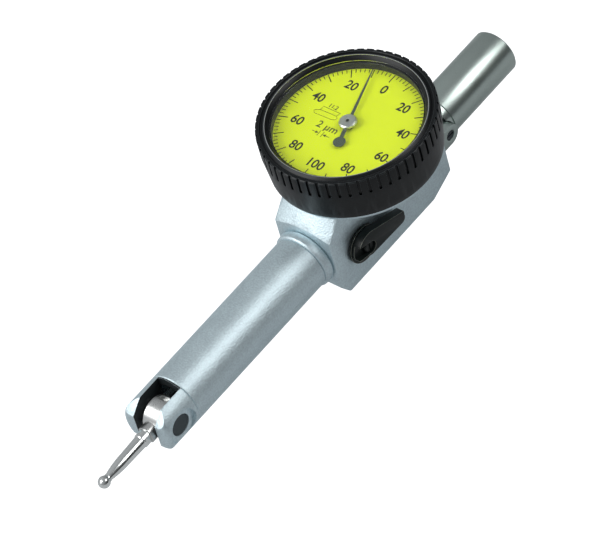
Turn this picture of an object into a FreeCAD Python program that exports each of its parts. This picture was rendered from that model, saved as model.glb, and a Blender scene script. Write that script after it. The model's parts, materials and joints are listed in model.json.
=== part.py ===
"""Dial test indicator with a yellow rotating dial, a tilting stem and a reversing lever.

A steel contact point swings in the fork at the end of a slender tube.  Its inner
lever arm runs through the tube into the body, where a toothed sector, a crown
wheel and two pinions raise the swing about 450 times and turn the pointer.

Frame: +X towards the stem, +Z up out of the dial, millimetres.  The origin is
where the dial axis meets the flat underside of the body.
"""

import FreeCAD
import Part
import math
import os
import re
from collections import namedtuple

import Sketcher
from FreeCAD import Placement, Rotation, Vector

# Driving dimensions, one group per sub-assembly.  "x" is a distance along the
# tube from the dial axis, "z" a height above the underside.
SIZES = {
    # fits
    "fit": 0.02,                    # radial clearance of a fixed joint
    "running_fit": 0.04,            # radial clearance of a turning joint
    "side_play": 0.06,              # end clearance of a turning joint
    # body
    "tube_axis_z": 7.4,
    "body_front_x": 15.1,
    "body_rear_x": 13.28,
    "body_half_width": 5.5,
    "front_bevel_length": 1.7,
    "front_bevel_height": 2.44,
    "rear_bevel_length": 5.0,
    "rear_bevel_height": 2.17,
    "shoulder_z": 12.45,            # where the turned cone leaves the body
    "head_z": 15.56,
    "head_thickness": 1.3,
    "flange_width": 0.4,
    "flange_thickness": 0.89,
    "cup_radius": 12.9,
    "cup_wall": 1.0,
    "cup_top_z": 21.0,
    "snap_groove_depth": 0.4,
    "snap_groove_height": 0.8,
    "cavity_half_width": 4.2,
    "cavity_floor_z": 1.4,
    "window_front_x": 4.6,
    "window_rear_x": 9.8,
    "edge_break": 0.15,
    # tube, collar and fork
    "collar_radius": 5.1,
    "collar_length": 1.8,
    "tube_radius": 4.75,
    "tube_bore": 3.4,
    "tube_front_x": 48.3,
    "spigot_radius": 3.8,
    "spigot_length": 3.5,
    "fork_spigot_length": 4.0,
    "fork_bore": 3.3,
    "fork_front_x": 55.35,
    "fork_root": 0.35,              # ring left between the slot and the tube
    "fork_edge": 1.2,               # turned chamfer of the front edge
    "slot_near": 2.3,
    "slot_far": 2.0,
    "bevel_back": 2.1,
    "bevel_depth": 1.9,
    "bevel_z": 2.2,
    "pivot_x": 51.8,
    "spotface_y": 4.0,
    "spotface_radius": 2.9,
    "bearing_radius": 1.85,
    "bearing_recess": 0.06,
    "journal_radius": 0.8,
    "journal_depth": 0.6,
    # contact point
    "hub_radius": 3.05,
    "hub_near": 2.2,
    "hub_far": 1.28,
    "hub_edge": 0.3,
    "hub_slot_depth": 0.5,
    "hub_slot_length": 1.4,
    "hub_slot_width": 1.75,
    "hub_slot_angle": 62.0,
    "boss_radius": 1.5,
    "boss_reach": 4.17,
    "contact_y": 0.5,               # offset of the contact point towards the lever side
    "contact_droop": 1.0,
    "contact_length": 14.37,        # pivot to ball centre
    "contact_base_radius": 1.25,
    "contact_base_length": 1.35,
    "contact_flat": 0.95,
    "contact_root_radius": 1.12,
    "contact_waist_radius": 1.02,
    "contact_taper_length": 4.0,
    "contact_neck_radius": 0.62,
    "contact_neck_length": 0.97,
    "contact_ring_radius": 0.7,
    "contact_thread_radius": 0.7,
    "contact_thread_length": 2.4,
    "ball_radius": 1.0,
    # lever arm
    "washer_thickness": 0.12,
    "washer_radius": 1.9,
    "cheek_radius": 2.0,
    "cheek_thickness": 0.45,
    "cheek_half_height": 1.0,
    "cheek_end_x": 44.0,
    "link_length": 1.6,
    "arm_radius": 0.7,
    "arm_overrun": 0.9,
    "drive_pin_radius": 0.3,
    "drive_pin_reach": 2.0,
    # movement
    "crown_axis_z": 13.9,
    "sector_teeth": 120,
    "sector_span_teeth": 8,
    "crown_teeth": 60,
    "pinion_leaves": 12,
    "sector_module": 0.16,
    "crown_module": 0.12,
    "backlash": 0.05,
    "pressure_angle": 20.0,
    "addendum": 1.0,
    "dedendum": 1.2,
    "contact_arm": 6.0,             # sector pivot to drive pin
    "sector_y": 1.6,
    "sector_thickness": 0.6,
    "sector_boss_radius": 1.3,
    "sector_window_radius": 0.75,
    "sector_window_reach": 6.6,
    "sector_fork_wall": 0.6,
    "drive_slot_half": 0.33,
    "arbor_radius": 0.45,
    "arbor_pivot_radius": 0.2,
    "arbor_pivot_length": 0.5,
    "pinion_length": 1.0,
    "crown_disc_thickness": 0.4,
    "crown_face": 0.6,
    "frame_plate_y": 3.4,
    "frame_plate_thickness": 0.7,
    "frame_plate_front_x": 3.6,
    "frame_plate_rear_x": 9.6,
    "frame_plate_bottom_z": 3.0,
    "frame_bar_front_x": 6.4,
    "frame_bar_rear_x": 10.8,
    "frame_bar_height": 0.8,
    "frame_foot_radius": 0.75,
    "frame_pillar_radius": 0.7,
    "pillar_top_x": 5.6,
    "pillar_top_z": 14.6,
    "pillar_front_x": 3.0,
    "pillar_front_z": 9.6,
    "pillar_low_x": 6.0,
    "pillar_low_z": 4.2,
    "frame_screw_radius": 0.35,
    "frame_screw_length": 1.2,
    "frame_screw_front_x": 3.0,
    "frame_screw_rear_x": 9.0,
    "frame_screw_y": 5.0,
    "frame_screw_head_radius": 0.6,
    "frame_screw_head_height": 0.4,
    "cock_z": 15.3,
    "cock_thickness": 0.8,
    "cock_half_width": 0.9,
    "cock_reach": 0.5,
    "pointer_arbor_radius": 0.35,
    "arbor_stub": 0.2,
    "bridge_height": 2.74,
    "bridge_thickness": 0.7,
    "bridge_radius": 10.6,
    "bridge_pillar_radius": 1.1,
    "bridge_pillar_x": 4.65,
    "bridge_pillar_y": 8.05,
    "bridge_screw_radius": 0.5,
    "bridge_screw_length": 2.6,
    "bridge_screw_head_radius": 0.9,
    "bridge_screw_head_height": 0.5,
    "hairspring_drop": 1.1,         # from the bridge down to the hairspring
    "hairspring_height": 0.35,
    "hairspring_strip": 0.08,
    "hairspring_pitch": 0.8,
    "hairspring_turns": 5,
    "collet_radius": 0.85,
    "collet_height": 0.6,
    "stud_size": 0.6,
    # dial, pointer and bezel
    "dial_clearance": 0.32,
    "dial_thickness": 0.5,
    "dial_step": 0.3,               # bezel bore down to the dial's pocket
    "dial_hole": 0.9,
    "retainer_thickness": 0.4,
    "retainer_width": 0.7,
    "dial_lip": 0.6,
    "crystal_seat": 0.23,
    "crystal_clearance": 0.2,
    "crystal_thickness": 0.54,
    "bezel_gap": 0.12,
    "bezel_taper": 0.5,
    "bezel_crest_height": 0.66,
    "bezel_ledge_drop": 0.25,
    "bezel_slope": 0.72,            # crystal's edge out to the crest
    "bezel_crest_width": 0.15,
    "bezel_shelf_width": 0.35,
    "bezel_groove_width": 0.3,
    "bezel_groove_depth": 0.35,
    "bezel_rim_width": 0.65,
    "bezel_snap_depth": 0.31,
    "knurl_length": 3.2,
    "knurl_count": 56,
    "knurl_width": 0.5,
    "knurl_depth": 0.3,
    "snap_ring_drop": 2.4,          # from the top of the cup down to the ring
    "snap_ring_wire": 0.3,
    "snap_ring_sweep": 340.0,
    "pointer_angle": 18.0,
    "pointer_lift": 0.53,
    "pointer_thickness": 0.15,
    "pointer_length": 11.5,
    "pointer_root_width": 0.55,
    "pointer_tip_width": 0.14,
    "pointer_tail": 4.07,
    "pointer_tail_radius": 1.0,
    "pointer_tail_width": 0.6,
    "cap_radius": 1.45,
    "cap_height": 0.5,
    "cap_edge": 0.2,
    "cap_dimple_radius": 0.45,
    "cap_dimple_depth": 0.15,
    # reversing lever
    "lever_x": 8.75,
    "lever_z": 6.85,
    "lever_disc_radius": 3.3,
    "lever_disc_thickness": 0.5,
    "lever_thickness": 1.95,
    "lever_gap": 0.12,
    "lever_blade_radius": 3.05,
    "lever_heel_angle": 10.0,
    "lever_lower_edge": 1.5,
    "lever_tip_reach": 8.35,
    "lever_tip_top": 0.2,
    "lever_tip_bottom": -1.75,
    "lever_tip_radius": 0.9,
    "lever_notch_width": 2.2,
    "lever_notch_top": 2.35,
    "lever_notch_bottom": 0.25,
    "lever_notch_depth": 1.0,
    "lever_screw_radius": 1.05,
    "lever_screw_height": 0.6,
    "lever_shaft_radius": 1.0,
    "lever_bush_radius": 1.7,
    "lever_bush_end_y": 3.3,
    "lever_tap_radius": 0.5,
    "lever_tap_depth": 1.5,
    "lever_screw_slot": 0.3,
    "lever_throw": 28.0,
    "lever_cam_radius": 1.6,
    "lever_cam_thickness": 0.6,
    "lever_pin_radius": 0.25,
    "lever_pin_offset": 1.2,
    "lever_pin_length": 2.9,
    "bias_spring_x": 11.0,
    "bias_spring_thickness": 0.12,
    "bias_spring_width": 1.2,
    "bias_spring_length": 5.0,
    "bias_spring_foot": 2.0,
    "bias_spring_lift": 0.08,
    # stem
    "stem_radius": 4.0,
    "stem_root_radius": 3.8,
    "stem_root_end_x": 18.0,
    "stem_end_x": 34.3,
    "stem_edge": 0.3,
    "stem_pivot_x": 15.78,
    "stem_tilt": 30.0,
    "ear_radius": 1.9,
    "ear_half_width": 4.7,
    "tongue_half_width": 2.5,
    "bracket_base": 0.4,
    "bracket_spigot_radius": 1.8,
    "bracket_spigot_length": 3.0,
    "stem_screw_radius": 0.6,
    "stem_screw_head_radius": 0.9,
    "stem_screw_head_depth": 0.7,
}

# Lengths and places that follow from the driving dimensions.
DERIVED = {
    "cone_base_radius": "sqrt(body_front_x ^ 2 + body_half_width ^ 2)",
    "floor_z": "head_z + head_thickness",
    "head_radius": "cup_radius + flange_width",
    "cup_bore": "cup_radius - cup_wall",
    "snap_groove_radius": "cup_radius - snap_groove_depth",
    "snap_ring_z": "cup_top_z - snap_ring_drop",
    "snap_ring_middle": "(snap_groove_radius + bezel_snap_radius) / 2",
    "contact_neck_reach": "contact_length - contact_neck_length",
    "contact_waist_reach": "contact_neck_reach - contact_taper_length",
    "tube_rear_x": "body_front_x + collar_length",
    "spigot_end_x": "body_front_x - spigot_length",
    "arm_y": "hub_far + washer_thickness + 2 * fit",
    "bearing_face_y": "spotface_y - bearing_recess",
    "train_centres": "(sector_teeth + pinion_leaves) * sector_module / 2",
    "sector_x": "sqrt(train_centres ^ 2 - (crown_axis_z - tube_axis_z) ^ 2)",
    "sector_radius": "sector_teeth * sector_module / 2",
    "crown_radius": "crown_teeth * crown_module / 2",
    "pointer_leaf_radius": "pinion_leaves * crown_module / 2",
    "crown_face_y": "pointer_leaf_radius + dedendum * crown_module",
    "drive_x": "sector_x - contact_arm",
    "arbor_foot_z": "cock_z + cock_thickness - arbor_pivot_length",
    "hairspring_start": "collet_radius + hairspring_strip + 2 * running_fit",
    "hairspring_end": "hairspring_start + hairspring_turns * hairspring_pitch",
    "arbor_top_z": "pointer_z + pointer_thickness + arbor_stub",
    "bridge_z": "floor_z + bridge_height",
    "hairspring_z": "bridge_z - hairspring_drop",
    "bezel_bore": "cup_radius + running_fit",
    "bezel_snap_radius": "bezel_bore + bezel_snap_depth",
    "dial_radius": "bezel_bore - dial_step - running_fit",
    "window_radius": "dial_radius - dial_lip",
    "crystal_radius": "window_radius + crystal_seat",
    "bezel_crest_inner": "crystal_radius + bezel_slope",
    "bezel_crest_outer": "bezel_crest_inner + bezel_crest_width",
    "bezel_groove_inner": "bezel_crest_outer + bezel_shelf_width",
    "bezel_groove_outer": "bezel_groove_inner + bezel_groove_width",
    "bezel_radius": "bezel_groove_outer + bezel_rim_width",
    "bezel_bottom_radius": "bezel_radius - bezel_taper",
    "bezel_bottom_z": "head_z + flange_thickness + bezel_gap",
    "dial_z": "cup_top_z + dial_clearance + retainer_thickness + dial_thickness",
    "pointer_z": "dial_z + pointer_lift",
    "crystal_z": "pointer_z + pointer_thickness + cap_height + crystal_clearance",
    "crystal_top_z": "crystal_z + crystal_thickness",
    "bezel_top_z": "crystal_top_z + bezel_crest_height",
    "knurl_z": "bezel_top_z - knurl_length",
    "retainer_z": "dial_z - dial_thickness - retainer_thickness",
    "stem_shoulder": "(ear_radius + 2 * side_play) / cos(stem_tilt)",
    "cam_y": "lever_bush_end_y - side_play - lever_cam_thickness",
    "lever_face_y": "body_half_width + lever_gap",
    "lever_front_y": "lever_face_y + lever_thickness",
}

WORD = re.compile(r"[a-z][a-z_0-9]*")
Arc = namedtuple("Arc", "centre_x centre_y x y clockwise follows")
Ring = namedtuple("Ring", "x y radius")

TOWARDS = {
    "+X": Rotation(Vector(0, 1, 0), 90),
    "-X": Rotation(Vector(0, 1, 0), -90),
    "+Y": Rotation(Vector(1, 0, 0), -90),
    "-Y": Rotation(Vector(1, 0, 0), 90),
    "+Z": Rotation(),
    "-Z": Rotation(Vector(1, 0, 0), 180),
}

doc = FreeCAD.newDocument("dial_test_indicator")
sheet = doc.addObject("Spreadsheet::Sheet", "Sizes")
pieces = []


def fill_sheet():
    """Write every driving dimension into the sheet and give it its alias."""
    for row, (alias, number) in enumerate(SIZES.items(), 1):
        sheet.set(f"A{row}", alias)
        sheet.set(f"B{row}", str(number))
        sheet.setAlias(f"B{row}", alias)
    doc.recompute()


def formula(text):
    """Expression in sheet cells for a formula written in plain size names."""
    def cell(match):
        word = match.group(0)
        if word in SIZES:
            return f"Sizes.{word}"
        if word in DERIVED:
            return f"({formula(DERIVED[word])})"
        return word
    return WORD.sub(cell, text)


def size(text):
    """Present value of a formula."""
    return float(sheet.evalExpression(formula(text)))


def bind(item, **properties):
    """Drive properties of an object from formulas; a double underscore is a dot."""
    for name, text in properties.items():
        item.setExpression(name.replace("__", "."), formula(text))
    return item


def place(item, x="0", y="0", z="0", rotation=None):
    """Put an object at a point given by formulas."""
    item.Placement = Placement(Vector(size(x), size(y), size(z)), rotation or Rotation())
    return bind(item, Placement__Base__x=x, Placement__Base__y=y, Placement__Base__z=z)


def piece(item, name):
    """Register an object as a finished sub-part under its own label."""
    item.Label = name
    pieces.append(item)
    return item


# --- sketches and features -------------------------------------------------

def draw(sketch, outline):
    """Add one closed outline of straight lines, arcs or a single circle."""
    if isinstance(outline, Ring):
        centre = Vector(size(outline.x), size(outline.y), 0)
        circle = Part.Circle(centre, Vector(0, 0, 1), size(outline.radius))
        index = sketch.addGeometry(circle, False)
        hold(sketch, index, 3, outline.x, outline.y)
        fixed = sketch.addConstraint(Sketcher.Constraint("Radius", index, circle.Radius))
        sketch.setExpression(f"Constraints[{fixed}]", formula(outline.radius))
        return
    corners = [(c.x, c.y) if isinstance(c, Arc) else c for c in outline]
    points = [Vector(size(x), size(y), 0) for x, y in corners]
    ends = []
    for i, start in enumerate(points):
        j = (i + 1) % len(points)
        if isinstance(outline[j], Arc):
            ends.append(draw_arc(sketch, start, points[j], outline[j]))
        else:
            line = Part.LineSegment(start, points[j])
            ends.append((sketch.addGeometry(line, False), 1, 2))
    for i, (index, first, last) in enumerate(ends):
        after, its_first, _ = ends[(i + 1) % len(ends)]
        sketch.addConstraint(Sketcher.Constraint("Coincident", index, last, after, its_first))
        x, y = corners[i]
        follows = outline[i].follows if isinstance(outline[i], Arc) else ""
        hold(sketch, index, first, None if follows == "x" else x, None if follows == "y" else y)


def draw_arc(sketch, start, end, arc):
    """Add an arc from start to end and hold its centre; give its end numbers."""
    centre = Vector(size(arc.centre_x), size(arc.centre_y), 0)
    first, last = (end, start) if arc.clockwise else (start, end)
    angles = [math.atan2(p.y - centre.y, p.x - centre.x) for p in (first, last)]
    circle = Part.Circle(centre, Vector(0, 0, 1), (start - centre).Length)
    index = sketch.addGeometry(Part.ArcOfCircle(circle, *angles), False)
    hold(sketch, index, 3, arc.centre_x, arc.centre_y)
    return (index, 2, 1) if arc.clockwise else (index, 1, 2)


def hold(sketch, index, point, x, y):
    """Tie one sketch point to the sheet, measured from the sketch's origin."""
    for kind, text in (("DistanceX", x), ("DistanceY", y)):
        if text is not None:
            tie = Sketcher.Constraint(kind, -1, 1, index, point, size(text))
            fixed = sketch.addConstraint(tie)
            sketch.setExpression(f"Constraints[{fixed}]", formula(text))


def sketch_on(body, role, outlines, start="0"):
    """Sketch on one of the body's own origin planes, lifted along its normal."""
    sketch = body.newObject("Sketcher::SketchObject", body.Name + "_sketch")
    plane = next(p for p in body.Origin.OriginFeatures if p.Role == role)
    sketch.AttachmentSupport = (plane, [""])
    sketch.MapMode = "FlatFace"
    bind(sketch, AttachmentOffset__Base__z=start)
    for outline in outlines:
        draw(sketch, outline)
    return sketch


def new_body(name):
    """Empty PartDesign body."""
    return doc.addObject("PartDesign::Body", name)


def revolve(body, outline, cut=False):
    """Turn a (radius, height) outline about the body's own Z axis."""
    kind = "PartDesign::Groove" if cut else "PartDesign::Revolution"
    feature = body.newObject(kind, body.Name + "_turned")
    feature.Profile = sketch_on(body, "XZ_Plane", [outline])
    feature.ReferenceAxis = (feature.Profile[0], ["V_Axis"])
    feature.Angle = 360
    return feature


def pad(body, role, outlines, start, length):
    """Add material from start along the plane's normal by length."""
    feature = body.newObject("PartDesign::Pad", body.Name + "_pad")
    feature.Profile = sketch_on(body, role, outlines, start)
    return bind(feature, Length=length)


def pocket(body, role, outlines, start, length):
    """Remove material from start along the plane's normal by length."""
    feature = body.newObject("PartDesign::Pocket", body.Name + "_pocket")
    feature.Profile = sketch_on(body, role, outlines, start)
    feature.Reversed = True
    return bind(feature, Length=length)


def turned(name, outline, towards="+Z", x="0", y="0", z="0"):
    """Lathe-turned body, its own Z axis laid along one of the frame's axes."""
    body = new_body(name)
    revolve(body, outline)
    return place(body, x, y, z, TOWARDS[towards])


def rectangle(x0, x1, y0, y1):
    """Corners of an upright rectangle, as an outline."""
    return [(x0, y0), (x1, y0), (x1, y1), (x0, y1)]


# --- primitives and booleans ------------------------------------------------

def cylinder(radius, height, towards="+Z", x="0", y="0", z="0"):
    """Part cylinder standing on a point and growing along a frame axis."""
    item = doc.addObject("Part::Cylinder", "cylinder")
    bind(item, Radius=radius, Height=height)
    return place(item, x, y, z, TOWARDS[towards])


def block(x0, x1, y0, y1, z0, z1):
    """Part box between two corners given by formulas."""
    item = doc.addObject("Part::Box", "block")
    bind(item, Length=f"({x1}) - ({x0})", Width=f"({y1}) - ({y0})", Height=f"({z1}) - ({z0})")
    return place(item, x0, y0, z0)


def fused(*items):
    """One solid out of several touching ones."""
    item = doc.addObject("Part::MultiFuse", "fused")
    item.Shapes = list(items)
    item.Refine = True
    return item


def group(*items):
    """Separate solids kept together in one object."""
    item = doc.addObject("Part::Compound", "group")
    item.Links = list(items)
    return item


def without(base, *tools):
    """Base with every tool cut away."""
    item = doc.addObject("Part::Cut", "cut")
    item.Base = base
    item.Tool = tools[0] if len(tools) == 1 else group(*tools)
    return item


def ring(inner, outer, bottom, top):
    """Outline of a flat ring for turning."""
    return [(inner, bottom), (outer, bottom), (outer, top), (inner, top)]


def along_contact(item, reach):
    """Lay an object's own Z axis along the contact point, at a reach from the pivot."""
    tilt = Rotation(Vector(0, -1, 0), 90 + size("contact_droop"))
    place(
        item,
        f"-pivot_x - ({reach}) * cos(contact_droop)",
        "-contact_y",
        f"tube_axis_z - ({reach}) * sin(contact_droop)",
        tilt,
    )
    return bind(item, Placement__Rotation__Angle="90 + contact_droop")


def around(item, angle):
    """Turn an object standing on the dial axis about that axis."""
    item.Placement = Placement(item.Placement.Base, Rotation(Vector(0, 0, 1), size(angle)))
    return bind(item, Placement__Rotation__Angle=angle)


# --- gear teeth --------------------------------------------------------------

def tooth_flanks(module):
    """Half widths of a straight-sided tooth at its root and at its tip."""
    half = (math.pi * module / 2 - size("backlash")) / 2
    slope = math.tan(math.radians(size("pressure_angle")))
    return half + size("dedendum") * module * slope, half - size("addendum") * module * slope


def toothed_arc(radius, module, directions):
    """Points along a row of teeth whose middles lie in the given directions."""
    root, tip = tooth_flanks(module)
    root_radius = radius - size("dedendum") * module
    tip_radius = radius + size("addendum") * module
    points = []
    for direction in directions:
        corners = ((root_radius, -root), (tip_radius, -tip), (tip_radius, tip), (root_radius, root))
        for reach, aside in corners:
            angle = math.radians(direction) + aside / reach
            points.append(Vector(reach * math.cos(angle), reach * math.sin(angle), 0))
    return points


def plate_from(points, thickness):
    """Flat solid with a straight-sided outline, standing on its own XY plane."""
    wire = Part.makePolygon(points + points[:1])
    return Part.Face(wire).extrude(Vector(0, 0, thickness))


def shaped(name, shape, towards="+Z", x="0", y="0", z="0"):
    """Sub-part whose shape is worked out from the sheet by a formula."""
    item = doc.addObject("Part::Feature", name)
    item.Shape = shape
    return piece(place(item, x, y, z, TOWARDS[towards]), name)


def pinion(name, module, first, length, bore, **where):
    """Small gear with all its leaves, the first one in a given direction."""
    leaves = int(size("pinion_leaves"))
    steps = [first + 360 * k / leaves for k in range(leaves)]
    radius = leaves * module / 2
    solid = plate_from(toothed_arc(radius, module, steps), length)
    return shaped(name, solid.cut(Part.makeCylinder(bore, length)), **where)


# --- body --------------------------------------------------------------------

def housing():
    """Machined body: bevelled block below, round head and bezel seat above."""
    body = new_body("housing")
    side = [
        ("-body_front_x", "front_bevel_height"),
        ("front_bevel_length - body_front_x", "0"),
        ("body_rear_x - rear_bevel_length", "0"),
        ("body_rear_x", "rear_bevel_height"),
        ("body_rear_x", "head_z"),
        ("-body_front_x", "head_z"),
    ]
    block_pad = pad(body, "XZ_Plane", [side], "-body_half_width", "2 * body_half_width")
    doc.recompute()
    low = [
        f"Edge{number}"
        for number, edge in enumerate(block_pad.Shape.Edges, 1)
        if edge.CenterOfMass.z < size("shoulder_z")
    ]
    edges = body.newObject("PartDesign::Chamfer", "housing_edges")
    edges.Base = (block_pad, low)
    bind(edges, Size="edge_break")
    outside_cone = [
        ("cone_base_radius", "shoulder_z"),
        ("cone_base_radius + 1", "shoulder_z"),
        ("cone_base_radius + 1", "head_z"),
        ("head_radius", "head_z"),
    ]
    revolve(body, outside_cone, cut=True)
    head = [
        ("0", "head_z"),
        ("head_radius", "head_z"),
        ("head_radius", "head_z + flange_thickness"),
        ("cup_radius", "head_z + flange_thickness"),
        ("cup_radius", "snap_ring_z - snap_groove_height / 2"),
        ("snap_groove_radius", "snap_ring_z - snap_groove_height / 2"),
        ("snap_groove_radius", "snap_ring_z + snap_groove_height / 2"),
        ("cup_radius", "snap_ring_z + snap_groove_height / 2"),
        ("cup_radius", "cup_top_z"),
        ("cup_bore", "cup_top_z"),
        ("cup_bore", "floor_z"),
        ("0", "floor_z"),
    ]
    revolve(body, head)
    window = rectangle(
        "-window_front_x", "window_rear_x", "-cavity_half_width", "cavity_half_width"
    )
    pocket(body, "XY_Plane", [window], "cavity_floor_z", "floor_z - cavity_floor_z")
    bore = Ring("0", "tube_axis_z", "spigot_radius + fit")
    pocket(body, "YZ_Plane", [bore], "-body_front_x", "body_front_x - window_front_x")
    spigot = Ring("0", "tube_axis_z", "bracket_spigot_radius + fit")
    pocket(body, "YZ_Plane", [spigot], "window_rear_x", "body_rear_x - window_rear_x")
    bush = Ring("-lever_x", "lever_z", "lever_bush_radius + fit")
    pocket(body, "XZ_Plane", [bush], "cam_y - side_play", "body_half_width")
    holes = [
        Ring(x, y, "frame_screw_radius + fit")
        for x in ("-frame_screw_front_x", "frame_screw_rear_x")
        for y in ("-frame_screw_y", "frame_screw_y")
    ]
    pocket(body, "XY_Plane", holes, "floor_z - frame_screw_length", "frame_screw_length")
    piece(body, "housing")


def collar_and_tube():
    """Collar that clamps the tube, and the tube with a spigot at each joint."""
    collar = [
        ("spigot_radius + fit", "0"),
        ("collar_radius - 2 * edge_break", "0"),
        ("collar_radius", "2 * edge_break"),
        ("collar_radius", "collar_length - 2 * edge_break"),
        ("collar_radius - 2 * edge_break", "collar_length"),
        ("spigot_radius + fit", "collar_length"),
    ]
    piece(turned("tube_collar", collar, "+X", "-tube_rear_x", "0", "tube_axis_z"), "tube_collar")
    tube = [
        ("tube_bore", "fork_spigot_length + fit"),
        ("spigot_radius + fit", "fork_spigot_length + fit"),
        ("spigot_radius + fit", "0"),
        ("tube_radius - edge_break", "0"),
        ("tube_radius", "edge_break"),
        ("tube_radius", "tube_front_x - tube_rear_x - edge_break"),
        ("tube_radius - edge_break", "tube_front_x - tube_rear_x"),
        ("spigot_radius", "tube_front_x - tube_rear_x"),
        ("spigot_radius", "tube_front_x - spigot_end_x"),
        ("tube_bore", "tube_front_x - spigot_end_x"),
    ]
    piece(turned("probe_tube", tube, "+X", "-tube_front_x", "0", "tube_axis_z"), "probe_tube")


def fork():
    """Slotted front end that carries the contact point between two cheeks."""
    length = "(fork_front_x - tube_front_x)"
    outline = [
        ("fork_bore", "-fork_spigot_length"),
        ("spigot_radius", "-fork_spigot_length"),
        ("spigot_radius", "0"),
        ("tube_radius - edge_break", "0"),
        ("tube_radius", "edge_break"),
        ("tube_radius", f"{length} - fork_edge"),
        Arc("tube_radius - fork_edge", f"{length} - fork_edge",
            "tube_radius - fork_edge", length, False, "y"),
        ("0", length),
        ("0", "fork_root"),
        ("fork_bore", "fork_root"),
    ]
    body = turned("fork", outline, "-X", "-tube_front_x", "0", "tube_axis_z")
    slot = rectangle("-slot_near", "slot_far", "fork_root", length)
    pocket(body, "YZ_Plane", [slot], "-tube_radius", "2 * tube_radius")
    for side in ("", "-"):
        wedge = [
            (f"{side}bevel_z", length),
            (f"{side}(bevel_z + 1.5 * bevel_depth)", f"{length} - 1.5 * bevel_back"),
            (f"{side}(bevel_z + 1.5 * bevel_depth)", length),
        ]
        pocket(body, "XZ_Plane", [wedge], "-tube_radius", "2 * tube_radius")
    pivot = "(pivot_x - tube_front_x)"
    face = Ring("0", pivot, "spotface_radius")
    pocket(body, "XZ_Plane", [face], "spotface_y", "tube_radius - spotface_y")
    pocket(body, "XZ_Plane", [face], "-tube_radius", "tube_radius - spotface_y")
    bearing = Ring("0", pivot, "bearing_radius + fit")
    pocket(body, "XZ_Plane", [bearing], "-tube_radius", "2 * tube_radius")
    piece(body, "fork")


def pivot_bearings():
    """Two plugs with blind journals, one in each cheek of the fork."""
    plugs = []
    for towards, wall in (("-Y", "slot_near"), ("+Y", "slot_far")):
        length = f"(bearing_face_y - {wall})"
        outline = [
            ("journal_radius + running_fit", "0"),
            ("bearing_radius", "0"),
            ("bearing_radius", f"{length} - edge_break"),
            ("bearing_radius - edge_break", length),
            ("0", length),
            ("0", "journal_depth"),
            ("journal_radius + running_fit", "journal_depth"),
        ]
        y = f"{towards[0]}{wall}" if towards == "-Y" else wall
        plugs.append(turned("bearing", outline, towards, "-pivot_x", y, "tube_axis_z"))
    piece(group(*plugs), "pivot_bearings")


# --- contact point and lever arm ---------------------------------------------

def pivot_hub():
    """Round hub on the pivot shaft with a boss that takes the contact point."""
    width = "(hub_near + hub_far)"
    outline = [
        ("journal_radius + fit", "0"),
        ("hub_radius - hub_edge", "0"),
        ("hub_radius", "hub_edge"),
        ("hub_radius", f"{width} - hub_edge"),
        ("hub_radius - hub_edge", width),
        ("journal_radius + fit", width),
    ]
    hub = turned("hub", outline, "+Y", "-pivot_x", "-hub_near", "tube_axis_z")
    floor = "(hub_radius - hub_slot_depth)"
    corners = [
        (floor, "-hub_slot_length / 2"),
        ("(hub_radius + 1)", "-hub_slot_length / 2"),
        ("(hub_radius + 1)", "hub_slot_length / 2"),
        (floor, "hub_slot_length / 2"),
    ]
    slot = [
        (
            f"{reach} * cos(hub_slot_angle) + {aside} * sin(hub_slot_angle)",
            f"{aside} * cos(hub_slot_angle) - {reach} * sin(hub_slot_angle)",
        )
        for reach, aside in corners
    ]
    slot_start = "hub_near - contact_y + (hub_edge - hub_slot_width) / 2"
    pocket(hub, "XY_Plane", [slot], slot_start, "hub_slot_width")
    boss = cylinder("boss_radius", "boss_reach - boss_radius")
    thread = cylinder("contact_thread_radius + fit", "contact_thread_length")
    along_contact(boss, "boss_radius")
    along_contact(thread, "boss_reach - contact_thread_length")
    piece(without(fused(hub, boss), thread), "pivot_hub")


def contact_point():
    """Screwed-in stylus with wrench flats, a long taper and a ball seat."""
    belly = ("(((contact_neck_reach - contact_waist_reach) ^ 2"
             " + (contact_waist_radius - contact_neck_radius) ^ 2)"
             " / (2 * (contact_waist_radius - contact_neck_radius)))")
    seat = "(ball_radius + fit)"
    outline = [
        ("0", "boss_reach + fit - contact_thread_length"),
        ("contact_thread_radius", "boss_reach + fit - contact_thread_length"),
        ("contact_thread_radius", "boss_reach + fit"),
        ("contact_base_radius", "boss_reach + fit"),
        ("contact_base_radius", "boss_reach + contact_base_length"),
        ("contact_root_radius", "boss_reach + contact_base_length + edge_break"),
        ("contact_waist_radius", "contact_waist_reach"),
        Arc(f"contact_waist_radius - {belly}", "contact_waist_reach",
            "contact_neck_radius", "contact_neck_reach", False, "x"),
        ("contact_ring_radius", "contact_neck_reach"),
        ("contact_ring_radius", f"contact_length - sqrt({seat} ^ 2 - contact_ring_radius ^ 2)"),
        Arc("0", "contact_length", "0", f"contact_length - {seat}", True, "y"),
    ]
    body = new_body("contact_stylus")
    revolve(body, outline)
    for side in (("contact_flat", "contact_base_radius"), ("-contact_base_radius", "-contact_flat")):
        flat = rectangle("-contact_base_radius", "contact_base_radius", *side)
        pocket(body, "XY_Plane", [flat], "boss_reach", "contact_base_length - edge_break")
    piece(along_contact(body, "0"), "contact_stylus")
    ball = bind(doc.addObject("Part::Sphere", "ball"), Radius="ball_radius")
    piece(along_contact(ball, "contact_length"), "contact_ball")


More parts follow.
